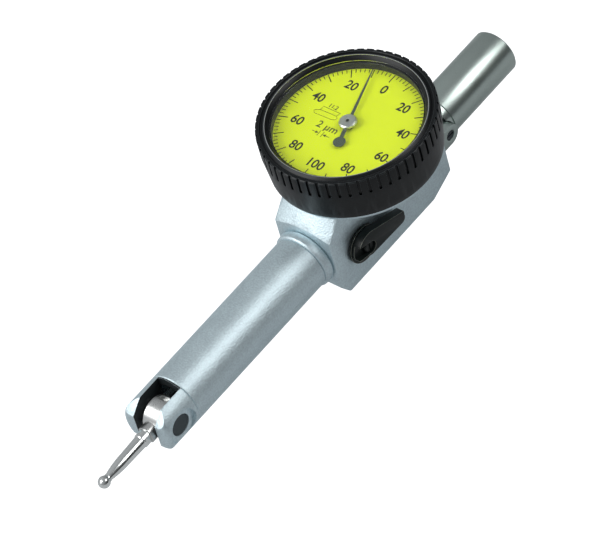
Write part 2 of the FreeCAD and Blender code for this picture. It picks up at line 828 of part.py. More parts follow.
def lever_arm():
    """Cheek beside the hub, offset link and the long rod back to the movement."""
    cheek_rear = "arm_y + cheek_thickness"
    half = "cheek_half_height"
    low, high = f"tube_axis_z - {half}", f"tube_axis_z + {half}"
    cheek = cylinder("cheek_radius", "cheek_thickness", "+Y", "-pivot_x", "arm_y", "tube_axis_z")
    plate = block("-pivot_x", "-cheek_end_x", "arm_y", cheek_rear, low, high)
    link = block("-cheek_end_x - link_length", "-cheek_end_x", "-arm_radius", cheek_rear, low, high)
    rod_length = "cheek_end_x + drive_x + arm_overrun"
    rod = cylinder("arm_radius", rod_length, "+X", "-cheek_end_x", "0", "tube_axis_z")
    bore = cylinder("journal_radius + fit", "cheek_thickness", "+Y", "-pivot_x", "arm_y", "tube_axis_z")
    pin_bore = cylinder("drive_pin_radius + fit", "2 * arm_radius", "-Y", "drive_x", "arm_radius",
                        "tube_axis_z")
    piece(without(fused(cheek, plate, link, rod), bore, pin_bore), "lever_arm")
    pin = cylinder("drive_pin_radius", "drive_pin_reach + arm_radius / 2", "-Y",
                   "drive_x", "arm_radius / 2", "tube_axis_z")
    piece(pin, "drive_pin")
    shaft_length = "(slot_near + slot_far + 2 * journal_depth - 2 * side_play)"
    shaft = [
        ("0", "0"),
        ("journal_radius - edge_break", "0"),
        ("journal_radius", "edge_break"),
        ("journal_radius", f"{shaft_length} - edge_break"),
        ("journal_radius - edge_break", shaft_length),
        ("0", shaft_length),
    ]
    start_y = "side_play - slot_near - journal_depth"
    piece(turned("pivot_shaft", shaft, "+Y", "-pivot_x", start_y, "tube_axis_z"), "pivot_shaft")
    washer = ring("journal_radius + fit", "washer_radius", "0", "washer_thickness")
    piece(turned("clutch_washer", washer, "+Y", "-pivot_x", "hub_far + fit", "tube_axis_z"),
          "clutch_washer")


# --- movement ----------------------------------------------------------------

def arbor(name, x, z):
    """Cross arbor with a fine pivot at each end, turning between the frame plates."""
    length = "(2 * (frame_plate_y + arbor_pivot_length))"
    shoulder = "(arbor_pivot_length + side_play)"
    outline = [
        ("0", "0"),
        ("arbor_pivot_radius", "0"),
        ("arbor_pivot_radius", shoulder),
        ("arbor_radius", shoulder),
        ("arbor_radius", f"{length} - {shoulder}"),
        ("arbor_pivot_radius", f"{length} - {shoulder}"),
        ("arbor_pivot_radius", length),
        ("0", length),
    ]
    start_y = "-frame_plate_y - arbor_pivot_length"
    piece(turned(name, outline, "+Y", x, start_y, z), name)


def sector_gear():
    """Toothed sector: boss, a forked arm for the drive pin and eight long-radius teeth."""
    module = size("sector_module")
    pitch = 360 / size("sector_teeth")
    towards_crown = math.degrees(math.atan2(
        size("crown_axis_z") - size("tube_axis_z"), -size("sector_x")))
    count = int(size("sector_span_teeth"))
    directions = [towards_crown + pitch * (k - (count - 1) / 2) for k in range(count)]
    teeth = toothed_arc(size("sector_radius"), module, directions)
    hub = size("sector_boss_radius")
    thickness = size("sector_thickness")
    web = plate_from([Vector(0, 0, 0)] + teeth, thickness)
    boss = Part.makeCylinder(hub, thickness)
    half = size("drive_slot_half") + size("sector_fork_wall")
    reach = size("contact_arm") + size("sector_fork_wall") + size("drive_slot_half")
    arm = Part.makeBox(reach, 2 * half, thickness, Vector(-reach, -half, 0))
    slot_depth = 2 * size("drive_slot_half") + size("sector_fork_wall")
    slot = Part.makeBox(slot_depth, 2 * size("drive_slot_half"), thickness,
                        Vector(-reach, -size("drive_slot_half"), 0))
    middle = (teeth[0] + teeth[-1]).normalize() * size("sector_window_reach")
    window = Part.makeCylinder(size("sector_window_radius"), thickness, middle)
    bore = Part.makeCylinder(size("arbor_radius") + size("fit"), thickness)
    solid = web.fuse([boss, arm]).cut([slot, window, bore])
    shaped("sector_gear", solid.removeSplitter(), "-Y", "sector_x",
           "-sector_y + sector_thickness / 2", "tube_axis_z")


def crown_wheel():
    """Contrate wheel: a disc with its teeth standing on the face, towards the dial axis."""
    module = size("crown_module")
    thickness = size("crown_disc_thickness")
    inner = size("crown_radius") - size("crown_face") / 2
    outer = size("crown_radius") + size("crown_face") / 2
    root, tip = tooth_flanks(module)
    top = thickness + (size("addendum") + size("dedendum")) * module
    corners = ((-root, thickness), (root, thickness), (tip, top), (-tip, top))
    section = [Vector(inner, aside, height) for aside, height in corners]
    tooth = Part.Face(Part.makePolygon(section + section[:1])).extrude(Vector(outer - inner, 0, 0))
    count = int(size("crown_teeth"))
    teeth = []
    for k in range(count):
        turn = 90 + 360 * (k + 0.5) / count
        copy = tooth.copy()
        copy.rotate(Vector(0, 0, 0), Vector(0, 0, 1), turn)
        teeth.append(copy)
    disc = Part.makeCylinder(outer, thickness)
    bore = Part.makeCylinder(size("arbor_radius") + size("fit"), thickness)
    shaped("crown_wheel", disc.fuse(teeth).cut(bore), "-Y", "0",
           "crown_face_y + crown_disc_thickness", "crown_axis_z")


def gear_train():
    """Sector, crown wheel and the two pinions, with their arbors."""
    sector_gear()
    arbor("sector_arbor", "sector_x", "tube_axis_z")
    crown_wheel()
    arbor("crown_arbor", "0", "crown_axis_z")
    towards_sector = math.degrees(math.atan2(
        size("tube_axis_z") - size("crown_axis_z"), size("sector_x")))
    pinion("crown_pinion", size("sector_module"), towards_sector, size("pinion_length"),
           size("arbor_radius") + size("fit"), towards="-Y",
           y="-sector_y + pinion_length / 2", z="crown_axis_z")
    pinion("pointer_pinion", size("crown_module"), 90, size("pinion_length"),
           size("pointer_arbor_radius") + size("fit"),
           z="crown_axis_z + crown_radius - pinion_length / 2")
    pivot = "arbor_pivot_length"
    outline = [
        ("0", "-side_play"),
        ("arbor_pivot_radius", "-side_play"),
        ("arbor_pivot_radius", f"{pivot} + side_play"),
        ("pointer_arbor_radius", f"{pivot} + side_play"),
        ("pointer_arbor_radius", "arbor_top_z - arbor_foot_z"),
        ("0", "arbor_top_z - arbor_foot_z"),
    ]
    piece(turned("pointer_arbor", outline, z="arbor_foot_z"), "pointer_arbor")
    collet = ring("pointer_arbor_radius + fit", "collet_radius", "0", "collet_height")
    collet_z = "hairspring_z + (hairspring_height - collet_height) / 2"
    piece(turned("hairspring_collet", collet, z=collet_z), "hairspring_collet")


def frame():
    """Two angle plates hung in the body's window, three pillars and the pointer's cock."""
    screw_places = ("-frame_screw_front_x", "frame_screw_rear_x")
    for side, sign in (("near", "-"), ("far", "")):
        inner, outer = "frame_plate_y", "(frame_plate_y + frame_plate_thickness)"
        y0, y1 = (f"-{outer}", f"-{inner}") if sign else (inner, outer)
        plate = block("-frame_plate_front_x", "frame_plate_rear_x", y0, y1,
                      "frame_plate_bottom_z", "floor_z")
        bar = block("-frame_bar_front_x", "frame_bar_rear_x", y0, y1,
                    "floor_z", "floor_z + frame_bar_height")
        middle = f"{sign}frame_screw_y"
        feet = []
        for x in screw_places:
            feet.append(cylinder("frame_foot_radius", "frame_bar_height", "+Z", x, middle,
                                 "floor_z"))
            feet.append(block(f"{x} - frame_foot_radius", f"{x} + frame_foot_radius",
                              *((middle, y1) if sign else (y0, middle)),
                              "floor_z", "floor_z + frame_bar_height"))
        bores = [
            cylinder("arbor_pivot_radius + running_fit", "frame_plate_thickness", "+Y", x, y0, z)
            for x, z in (("0", "crown_axis_z"), ("sector_x", "tube_axis_z"))
        ]
        holes = [
            cylinder("frame_screw_radius + fit", "frame_bar_height", "+Z", x, middle, "floor_z")
            for x in screw_places
        ]
        piece(without(fused(plate, bar, *feet), *bores, *holes), f"frame_plate_{side}")
    pillars = [
        cylinder("frame_pillar_radius", "2 * frame_plate_y", "+Y", x, "-frame_plate_y", z)
        for x, z in (
            ("pillar_top_x", "pillar_top_z"),
            ("-pillar_front_x", "pillar_front_z"),
            ("pillar_low_x", "pillar_low_z"),
        )
    ]
    piece(group(*pillars), "frame_pillars")
    screws = [
        screw("frame_screw_radius", "frame_screw_length + frame_bar_height - side_play",
              "frame_screw_head_radius", "frame_screw_head_height", x, y,
              "floor_z + frame_bar_height")
        for x in screw_places
        for y in ("-frame_screw_y", "frame_screw_y")
    ]
    piece(group(*screws), "frame_screws")
    cock = block("-cock_half_width", "cock_half_width", "-frame_plate_y", "cock_reach",
                 "cock_z", "cock_z + cock_thickness")
    bore = cylinder("arbor_pivot_radius + running_fit", "cock_thickness", z="cock_z")
    piece(without(cock, bore), "pointer_cock")


def screw(radius, length, head_radius, head_height, x, y, seat_z):
    """Cheese-head screw pointing down, with a slot across its head."""
    outline = [
        ("0", f"-({length})"),
        (radius, f"-({length})"),
        (radius, "0"),
        (head_radius, "0"),
        (head_radius, head_height),
        ("0", head_height),
    ]
    body = turned("screw", outline, "+Z", x, y, seat_z)
    slot = rectangle(f"-{head_radius}", head_radius, f"-{head_radius} / 6", f"{head_radius} / 6")
    pocket(body, "XY_Plane", [slot], f"{head_height} / 2", head_height)
    return body


def bridge():
    """Top bridge on four pillars, which steadies the pointer arbor under the dial."""
    posts = [
        (f"{along} * bridge_pillar_x", f"{across} * bridge_pillar_y")
        for along, across in ((1, 1), (-1, 1), (-1, -1), (1, -1))
    ]
    disc = cylinder("bridge_radius", "bridge_thickness", z="bridge_z")
    bore = cylinder("pointer_arbor_radius + running_fit", "bridge_thickness", z="bridge_z")
    holes = [
        cylinder("bridge_screw_radius + fit", "bridge_thickness", "+Z", x, y, "bridge_z")
        for x, y in posts
    ]
    piece(without(disc, bore, *holes), "top_bridge")
    pillars = [
        turned("pillar", ring("bridge_screw_radius + fit", "bridge_pillar_radius", "0",
                              "bridge_z - floor_z"), "+Z", x, y, "floor_z")
        for x, y in posts
    ]
    piece(group(*pillars), "bridge_pillars")
    screws = [
        screw("bridge_screw_radius", "bridge_screw_length", "bridge_screw_head_radius",
              "bridge_screw_head_height", x, y, "bridge_z + bridge_thickness")
        for x, y in posts
    ]
    piece(group(*screws), "bridge_screws")


def hairspring():
    """Flat spiral of half circles, each one half a pitch larger than the last."""
    first = size("hairspring_start")
    step = size("hairspring_pitch") / 2
    half_strip = size("hairspring_strip") / 2
    turns = range(2 * int(size("hairspring_turns")))

    def half_circle(k, offset):
        centre = Vector(step * (k % 2), 0, 0)
        reach = first + step * k + offset
        side = -1 if k % 2 else 1
        start = centre + Vector(reach * side, 0, 0)
        top = centre + Vector(0, reach * side, 0)
        end = centre - Vector(reach * side, 0, 0)
        return Part.Arc(start, top, end).toShape()

    outer = [half_circle(k, half_strip) for k in turns]
    inner = [half_circle(k, -half_strip) for k in turns]
    ends = [
        Part.makeLine(outer[k].Vertexes[v].Point, inner[k].Vertexes[v].Point)
        for k, v in ((0, 0), (-1, 1))
    ]
    wire = Part.Wire(Part.sortEdges(outer + inner + ends)[0])
    shaped("hairspring", Part.Face(wire).extrude(Vector(0, 0, size("hairspring_height"))),
           z="hairspring_z")
    outside = "(hairspring_end + hairspring_strip / 2)"
    piece(block(outside, f"{outside} + stud_size", "-stud_size / 2", "stud_size / 2",
                "hairspring_z", "bridge_z"), "hairspring_stud")


# --- dial, pointer and bezel --------------------------------------------------

def knurl_cutters():
    """Ring of round-ended cutters that leave the flutes of the bezel's knurl."""
    half = size("knurl_width") / 2
    inner = size("bezel_radius") - size("knurl_depth")
    low = size("knurl_z") + half
    depth = 2 * size("knurl_depth")
    cutter = Part.makeBox(depth, 2 * half, size("bezel_top_z") - low, Vector(inner, -half, low))
    end = Part.makeCylinder(half, depth, Vector(inner, 0, low), Vector(1, 0, 0))
    cutter = cutter.fuse(end).removeSplitter()
    count = int(size("knurl_count"))
    cutters = []
    for k in range(count):
        copy = cutter.copy()
        copy.rotate(Vector(0, 0, 0), Vector(0, 0, 1), 360 * k / count)
        cutters.append(copy)
    item = doc.addObject("Part::Feature", "knurl_cutters")
    item.Shape = Part.makeCompound(cutters)
    return item


def bezel():
    """Turning bezel: knurled rim, stepped crest, and a groove for the snap ring."""
    body = new_body("bezel_ring")
    inner = "(crystal_radius + fit)"
    half_groove = "snap_groove_height / 2"
    outline = [
        ("bezel_bore", "bezel_bottom_z"),
        ("bezel_bottom_radius", "bezel_bottom_z"),
        ("bezel_radius", "knurl_z"),
        ("bezel_radius", "bezel_top_z - bezel_ledge_drop"),
        ("bezel_radius - edge_break", "bezel_top_z - bezel_ledge_drop + edge_break"),
        ("bezel_groove_outer", "bezel_top_z - bezel_ledge_drop + edge_break"),
        ("bezel_groove_outer - edge_break", "bezel_top_z - bezel_groove_depth"),
        ("bezel_groove_inner", "bezel_top_z - bezel_groove_depth"),
        ("bezel_crest_outer", "bezel_top_z"),
        ("bezel_crest_inner", "bezel_top_z"),
        (inner, "crystal_top_z"),
        (inner, "crystal_z"),
        ("window_radius", "crystal_z"),
        ("window_radius", "dial_z"),
        ("dial_radius + running_fit", "dial_z"),
        ("dial_radius + running_fit", "retainer_z"),
        ("bezel_bore", "retainer_z"),
        ("bezel_bore", f"snap_ring_z + {half_groove}"),
        ("bezel_snap_radius", f"snap_ring_z + {half_groove}"),
        ("bezel_snap_radius", f"snap_ring_z - {half_groove}"),
        ("bezel_bore", f"snap_ring_z - {half_groove}"),
    ]
    revolve(body, outline)
    piece(without(body, knurl_cutters()), "bezel")


def dial():
    """Crystal, dial plate and the ring that holds the plate up in the bezel."""
    piece(turned("crystal", ring("0", "crystal_radius", "crystal_z", "crystal_top_z")), "crystal")
    plate = ring("dial_hole", "dial_radius", "dial_z - dial_thickness", "dial_z")
    piece(turned("dial_face", plate), "dial_face")
    retainer = ring("dial_radius - retainer_width", "dial_radius", "retainer_z",
                    "dial_z - dial_thickness")
    piece(turned("dial_retainer", retainer), "dial_retainer")
    wire = bind(doc.addObject("Part::Torus", "wire"), Radius1="snap_ring_middle",
                Radius2="snap_ring_wire", Angle3="snap_ring_sweep")
    piece(place(wire, z="snap_ring_z"), "bezel_spring")


def pointer():
    """Tapered hand with a round counterweight, and the polished cap on its hub."""
    body = new_body("pointer")
    hand = [
        ("0", "-pointer_root_width / 2"),
        ("pointer_length", "-pointer_tip_width / 2"),
        ("pointer_length", "pointer_tip_width / 2"),
        ("0", "pointer_root_width / 2"),
    ]
    tail = rectangle("-pointer_tail", "0", "-pointer_tail_width / 2", "pointer_tail_width / 2")
    for outline in (hand, tail, Ring("-pointer_tail", "0", "pointer_tail_radius"),
                    Ring("0", "0", "cap_radius - cap_edge")):
        pad(body, "XY_Plane", [outline], "0", "pointer_thickness")
    bore = Ring("0", "0", "pointer_arbor_radius + fit")
    pocket(body, "XY_Plane", [bore], "0", "pointer_thickness")
    piece(around(place(body, z="pointer_z"), "pointer_angle"), "pointer")
    cap = [
        ("pointer_arbor_radius + fit", "0"),
        ("cap_radius", "0"),
        ("cap_radius", "cap_height - cap_edge"),
        ("cap_radius - cap_edge", "cap_height"),
        ("cap_dimple_radius", "cap_height"),
        ("0", "cap_height - cap_dimple_depth"),
        ("0", "arbor_top_z - pointer_z - pointer_thickness + fit"),
        ("pointer_arbor_radius + fit", "arbor_top_z - pointer_z - pointer_thickness + fit"),
    ]
    piece(turned("pointer_cap", cap, z="pointer_z + pointer_thickness"), "pointer_cap")


# --- reversing lever ----------------------------------------------------------

def reversing_lever():
    """Side lever that turns a cam in the body and swaps the measuring direction."""
    body = new_body("reversing_lever")
    disc = Ring("0", "0", "lever_disc_radius")
    pad(body, "XZ_Plane", [disc], "0", "lever_disc_thickness")
    blade_end = "(lever_tip_reach - lever_tip_radius)"
    reach = "sqrt(lever_tip_reach ^ 2 + lever_tip_top ^ 2)"
    tangent = f"(atan(lever_tip_top / lever_tip_reach) + acos(lever_blade_radius / {reach}))"
    blade = [
        ("-lever_blade_radius * cos(lever_heel_angle)", "-lever_blade_radius * sin(lever_heel_angle)"),
        Arc("0", "0", f"lever_blade_radius * cos({tangent})", f"lever_blade_radius * sin({tangent})",
            True, "y"),
        ("lever_tip_reach", "lever_tip_top"),
        ("lever_tip_reach", "lever_tip_bottom + lever_tip_radius"),
        Arc(blade_end, "lever_tip_bottom + lever_tip_radius", blade_end, "lever_tip_bottom",
            True, "y"),
        ("0", "-lever_lower_edge"),
    ]
    pad(body, "XZ_Plane", [blade], "lever_disc_thickness", "lever_thickness - lever_disc_thickness")
    notch = [
        Arc("0", "0", "0", "lever_notch_width / 2", False, "y"),
        ("-1.1 * lever_disc_radius", "lever_notch_top"),
        ("-1.1 * lever_disc_radius", "-lever_notch_bottom"),
        ("0", "-lever_notch_width / 2"),
    ]
    floor = "(lever_thickness - lever_notch_depth)"
    pocket(body, "XZ_Plane", [notch], floor, "lever_notch_depth")
    hole = Ring("0", "0", "lever_shaft_radius + fit")
    pocket(body, "XZ_Plane", [hole], "0", "lever_thickness")
    piece(place(body, "-lever_x", "-lever_face_y", "lever_z"), "reversing_lever")


def lever_works():
    """Shaft with cam and eccentric pin, its bush, washer and screw, and the leaf spring."""
    bush_length = "(body_half_width - lever_bush_end_y)"
    bush = turned("lever_bush", ring("lever_shaft_radius + running_fit", "lever_bush_radius", "0",
                                     bush_length), "-Y", "-lever_x", "-lever_bush_end_y", "lever_z")
    piece(bush, "lever_bush")
    washer = ring("lever_shaft_radius + running_fit", "lever_bush_radius", "0",
                  "lever_gap - 2 * fit")
    piece(turned("lever_washer", washer, "-Y", "-lever_x", "-body_half_width - fit", "lever_z"),
          "lever_washer")
    floor = "(lever_front_y - lever_notch_depth)"
    shaft = [
        ("0", "0"),
        ("lever_cam_radius", "0"),
        ("lever_cam_radius", "lever_cam_thickness"),
        ("lever_shaft_radius", "lever_cam_thickness"),
        ("lever_shaft_radius", f"{floor} - cam_y"),
        ("lever_tap_radius", f"{floor} - cam_y"),
        ("lever_tap_radius", f"{floor} - cam_y - lever_tap_depth"),
        ("0", f"{floor} - cam_y - lever_tap_depth"),
    ]
    body = turned("shaft", shaft, "-Y", "-lever_x", "-cam_y", "lever_z")
    pin = cylinder(
        "lever_pin_radius", "lever_pin_length", "+Y",
        "lever_pin_offset * sin(lever_throw) - lever_x", "-cam_y",
        "lever_z - lever_pin_offset * cos(lever_throw)",
    )
    piece(fused(body, pin), "lever_shaft")
    thread_length = "(lever_tap_depth - side_play)"
    head = [
        ("0", f"-{thread_length}"),
        ("lever_tap_radius - fit", f"-{thread_length}"),
        ("lever_tap_radius - fit", "0"),
        ("lever_screw_radius", "0"),
        ("lever_screw_radius", "lever_screw_height - edge_break"),
        ("lever_screw_radius - edge_break", "lever_screw_height"),
        ("0", "lever_screw_height"),
    ]
    lever_screw = turned("lever_screw", head, "-Y", "-lever_x", f"-{floor}", "lever_z")
    slot = rectangle("-lever_screw_slot / 2", "lever_screw_slot / 2",
                     "-lever_screw_radius", "lever_screw_radius")
    pocket(lever_screw, "XY_Plane", [slot], "lever_screw_height / 2", "lever_screw_height")
    piece(lever_screw, "lever_screw")
    leaf = new_body("bias_spring")
    sheet = "bias_spring_thickness"
    top = "(lever_z - lever_pin_offset * cos(lever_throw) + lever_pin_radius + fit)"
    foot = "(tube_axis_z - spigot_radius + bias_spring_lift)"
    outline = [
        ("-bias_spring_x", foot),
        ("bias_spring_foot - bias_spring_x", foot),
        ("bias_spring_foot - bias_spring_x", f"{foot} + {sheet}"),
        (f"{sheet} - bias_spring_x", f"{foot} + {sheet}"),
        (f"{sheet} - bias_spring_x", top),
        ("bias_spring_length - bias_spring_x", top),
        ("bias_spring_length - bias_spring_x", f"{top} + {sheet}"),
        ("-bias_spring_x", f"{top} + {sheet}"),
    ]
    pad(leaf, "XZ_Plane", [outline], "-bias_spring_width / 2", "bias_spring_width")
    piece(leaf, "bias_spring")


# --- stem ---------------------------------------------------------------------

def stem_bracket():
    """Forked bracket pressed into the rear wall, with a screw across its ears."""
    low, high = "tube_axis_z - ear_radius", "tube_axis_z + ear_radius"
    gap = "(tongue_half_width + side_play)"
    base_end = "body_rear_x + bracket_base"
    base = block("body_rear_x", base_end, "-ear_half_width", "ear_half_width", low, high)
    spigot = cylinder("bracket_spigot_radius", "bracket_spigot_length", "-X", base_end, "0",
                      "tube_axis_z")
    ears = []
    for y0, y1 in ((gap, "ear_half_width"), ("-ear_half_width", f"-{gap}")):
        ears.append(block("body_rear_x", "stem_pivot_x", y0, y1, low, high))
        ears.append(cylinder("ear_radius", f"ear_half_width - {gap}", "+Y", "stem_pivot_x", y0,
                             "tube_axis_z"))
    shank = cylinder("stem_screw_radius + fit", "2 * ear_half_width", "+Y", "stem_pivot_x",
                     "-ear_half_width", "tube_axis_z")
    seat = cylinder("stem_screw_head_radius + fit", "stem_screw_head_depth", "+Y", "stem_pivot_x",
                    "-ear_half_width", "tube_axis_z")
    piece(without(fused(base, spigot, *ears), shank, seat), "stem_bracket")
    outline = [
        ("0", "fit - 2 * ear_half_width"),
        ("stem_screw_radius", "fit - 2 * ear_half_width"),
        ("stem_screw_radius", "-stem_screw_head_depth"),
        ("stem_screw_head_radius", "-stem_screw_head_depth"),
        ("stem_screw_head_radius", "-edge_break"),
        ("0", "-edge_break"),
    ]
    body = turned("stem_screw", outline, "-Y", "stem_pivot_x", "-ear_half_width", "tube_axis_z")
    slot = rectangle("-stem_screw_head_radius", "stem_screw_head_radius",
                     "-stem_screw_head_radius / 6", "stem_screw_head_radius / 6")
    pocket(body, "XY_Plane", [slot], "-stem_screw_head_depth / 2", "stem_screw_head_depth")
    piece(body, "stem_screw")


def stem():
    """Tilting mounting stem: a tongue between the ears and a plain round shank."""
    length = "(stem_end_x - stem_pivot_x)"
    root = "stem_root_end_x - stem_pivot_x"
    outline = [
        ("0", "0"),
        ("stem_root_radius", "0"),
        ("stem_root_radius", root),
        ("stem_radius", root),
        ("stem_radius", f"{length} - stem_edge"),
        ("stem_radius - stem_edge", length),
        ("0", length),
    ]
    shank = turned("stem_shank", outline, "+X", "stem_pivot_x", "0", "tube_axis_z")
    clear = "(ear_radius + 2 * side_play)"
    depth = "(stem_radius - tongue_half_width)"
    cuts = []
    for y in ("-stem_radius", "tongue_half_width"):
        cuts.append(cylinder(clear, depth, "+Y", "stem_pivot_x", y, "tube_axis_z"))
        cuts.append(block(
            "stem_pivot_x", f"stem_pivot_x + {clear} * sin(stem_tilt)", y, f"{y} + {depth}",
            "tube_axis_z - stem_shoulder", "tube_axis_z + stem_shoulder"))
    tongue = cylinder("ear_radius", "2 * tongue_half_width", "+Y", "stem_pivot_x",
                      "-tongue_half_width", "tube_axis_z")
    bore = cylinder("stem_screw_radius + running_fit", "2 * tongue_half_width", "+Y",
                    "stem_pivot_x", "-tongue_half_width", "tube_axis_z")
    piece(without(fused(without(shank, *cuts), tongue), bore), "stem")


# --- build, check and export ----------------------------------------------------

def build():
    """Make every sub-part."""
    for make in (
        housing, collar_and_tube, fork, pivot_bearings, pivot_hub, contact_point, lever_arm,
        gear_train, frame, bridge, hairspring, bezel, dial, pointer, reversing_lever,
        lever_works, stem_bracket, stem,
    ):
        make()
    doc.recompute()


def check():
    """Stop if any object failed or any sub-part has no valid solid."""
    failed = [item.Label for item in doc.Objects if {"Invalid", "Error"} & set(item.State)]
    failed += [item.Label for item in pieces
               if item.Shape.isNull() or not item.Shape.isValid() or not item.Shape.Solids]
    if failed:
        raise RuntimeError(f"failed: {failed}")


def export():
    """Write one STEP file for each sub-part."""
    os.makedirs("parts", exist_ok=True)
    for item in pieces:
        item.Shape.exportStep(f"parts/{item.Label}.step")
        print(f"{item.Label}: {len(item.Shape.Solids)} solids, {item.Shape.Volume:.2f} mm3")


fill_sheet()
build()
check()
export()
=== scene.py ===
"""Looks of the dial test indicator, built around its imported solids.

Every object is in metres in the model's own frame: +X towards the stem, +Z up out of
the dial, with the origin where the dial axis meets the flat underside of the body.
"""

import json
import logging
import math
from dataclasses import dataclass
from enum import Enum, IntEnum
from typing import Iterable, Sequence

import bmesh
import bpy
from mathutils import Matrix, Quaternion, Vector

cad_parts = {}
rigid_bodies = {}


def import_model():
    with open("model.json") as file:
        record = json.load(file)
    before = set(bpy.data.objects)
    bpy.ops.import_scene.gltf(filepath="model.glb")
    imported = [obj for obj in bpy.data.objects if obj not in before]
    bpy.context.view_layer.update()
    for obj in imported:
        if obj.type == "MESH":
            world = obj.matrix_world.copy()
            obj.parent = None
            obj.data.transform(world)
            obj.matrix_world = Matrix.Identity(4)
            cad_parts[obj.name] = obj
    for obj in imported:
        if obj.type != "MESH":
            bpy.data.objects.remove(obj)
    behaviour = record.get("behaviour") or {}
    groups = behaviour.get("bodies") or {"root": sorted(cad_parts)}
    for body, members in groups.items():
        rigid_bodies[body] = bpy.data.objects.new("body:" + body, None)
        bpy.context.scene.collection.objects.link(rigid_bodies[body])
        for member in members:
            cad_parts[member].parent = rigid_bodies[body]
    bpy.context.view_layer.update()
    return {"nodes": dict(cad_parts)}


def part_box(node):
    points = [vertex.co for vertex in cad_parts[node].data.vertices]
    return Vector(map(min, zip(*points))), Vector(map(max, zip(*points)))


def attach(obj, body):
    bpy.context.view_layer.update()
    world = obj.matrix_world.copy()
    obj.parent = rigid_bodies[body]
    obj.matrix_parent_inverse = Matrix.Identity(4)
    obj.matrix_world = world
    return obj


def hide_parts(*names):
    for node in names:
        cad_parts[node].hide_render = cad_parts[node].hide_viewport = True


MM = 0.001
MERGE_GAP = 0.001 * MM
LOG = logging.getLogger("dial_indicator")

Colour = tuple[float, float, float]


class Face(Enum):
    """Lettering of the dial: growth of its strokes and width of its letters."""

    NUMERAL = (0.022, 0.90)
    LABEL = (0.010, 1.0)

    @property
    def weight(self) -> float:
        """Growth of each stroke as a share of the digits' height."""
        return self.value[0]

    @property
    def narrowing(self) -> float:
        """Width of the letters as a share of the font's own."""
        return self.value[1]


class Slot(IntEnum):
    """Material slots of a piece with softened edges."""

    FACES = 0
    # Rounded edges, which take a painted highlight where the piece has an edge finish.
    EDGES = 1
    # Faces painted dark as shade.
    DARK = 2


class Body(Enum):
    """Rigid bodies of the model that new pieces ride on."""

    CASE = "case"
    BEZEL = "bezel"
    POINTER = "pointer"
    REVERSER = "reversing_lever"
    STEM = "stem"


# --- shader node groups --------------------------------------------------------


@dataclass(frozen=True)
class Socket:
    """One input or output of a shader node group."""

    name: str
    kind: str = "NodeSocketFloat"
    default: float | tuple[float, ...] | None = None
    output: bool = False


class GroupBuilder:
    """Small helper that lays out the nodes of one shader node group."""

    def __init__(self, name: str, sockets: Sequence[Socket]) -> None:
        """Make the group with its named sockets.

        Args:
            name: Name of the group.
            sockets: Inputs and outputs in order.
        """
        self.tree = bpy.data.node_groups.new(name, "ShaderNodeTree")
        for socket in sockets:
            side = "OUTPUT" if socket.output else "INPUT"
            made = self.tree.interface.new_socket(
                name=socket.name, in_out=side, socket_type=socket.kind
            )
            if socket.default is not None:
                made.default_value = socket.default
        self.inputs = self.tree.nodes.new("NodeGroupInput").outputs
        self.outputs = self.tree.nodes.new("NodeGroupOutput").inputs

    def node(self, kind: str, **settings: object) -> bpy.types.Node:
        """Add one node and set its plain properties."""
        made = self.tree.nodes.new(kind)
        for key, value in settings.items():
            setattr(made, key, value)
        return made

    def link(self, source: bpy.types.NodeSocket, target: bpy.types.NodeSocket) -> None:
        """Join two sockets."""
        self.tree.links.new(source, target)

    def math(self, operation: str, *values: object) -> bpy.types.NodeSocket:
        """Add a Math node fed with sockets or numbers.

        Args:
            operation: Name of the operation.
            values: Sockets or numbers, one for each operand.

        Returns:
            The socket with the result.
        """
        made = self.node("ShaderNodeMath", operation=operation)
        for index, value in enumerate(values):
            if isinstance(value, bpy.types.NodeSocket):
                self.link(value, made.inputs[index])
            else:
                made.inputs[index].default_value = value
        return made.outputs[0]

    def noise(self, scale: object, detail: float, vector: bpy.types.NodeSocket) -> bpy.types.NodeSocket:
        """Add a Noise texture on given coordinates and return its value."""
        made = self.node("ShaderNodeTexNoise")
        made.inputs["Detail"].default_value = detail
        if isinstance(scale, bpy.types.NodeSocket):
            self.link(scale, made.inputs["Scale"])
        else:
            made.inputs["Scale"].default_value = scale
        self.link(vector, made.inputs["Vector"])
        return made.outputs["Fac"]

    def ramp(self, value: bpy.types.NodeSocket, low: object, high: object) -> bpy.types.NodeSocket:
        """Stretch a value so that low becomes 0 and high becomes 1, clamped."""
        made = self.node("ShaderNodeMapRange", clamp=True)
        self.link(value, made.inputs["Value"])
        for name, number in (("From Min", low), ("From Max", high)):
            if isinstance(number, bpy.types.NodeSocket):
                self.link(number, made.inputs[name])
            else:
                made.inputs[name].default_value = number
        return made.outputs["Result"]

    def objects(self) -> bpy.types.NodeSocket:
        """Object coordinates."""
        return self.node("ShaderNodeTexCoord").outputs["Object"]


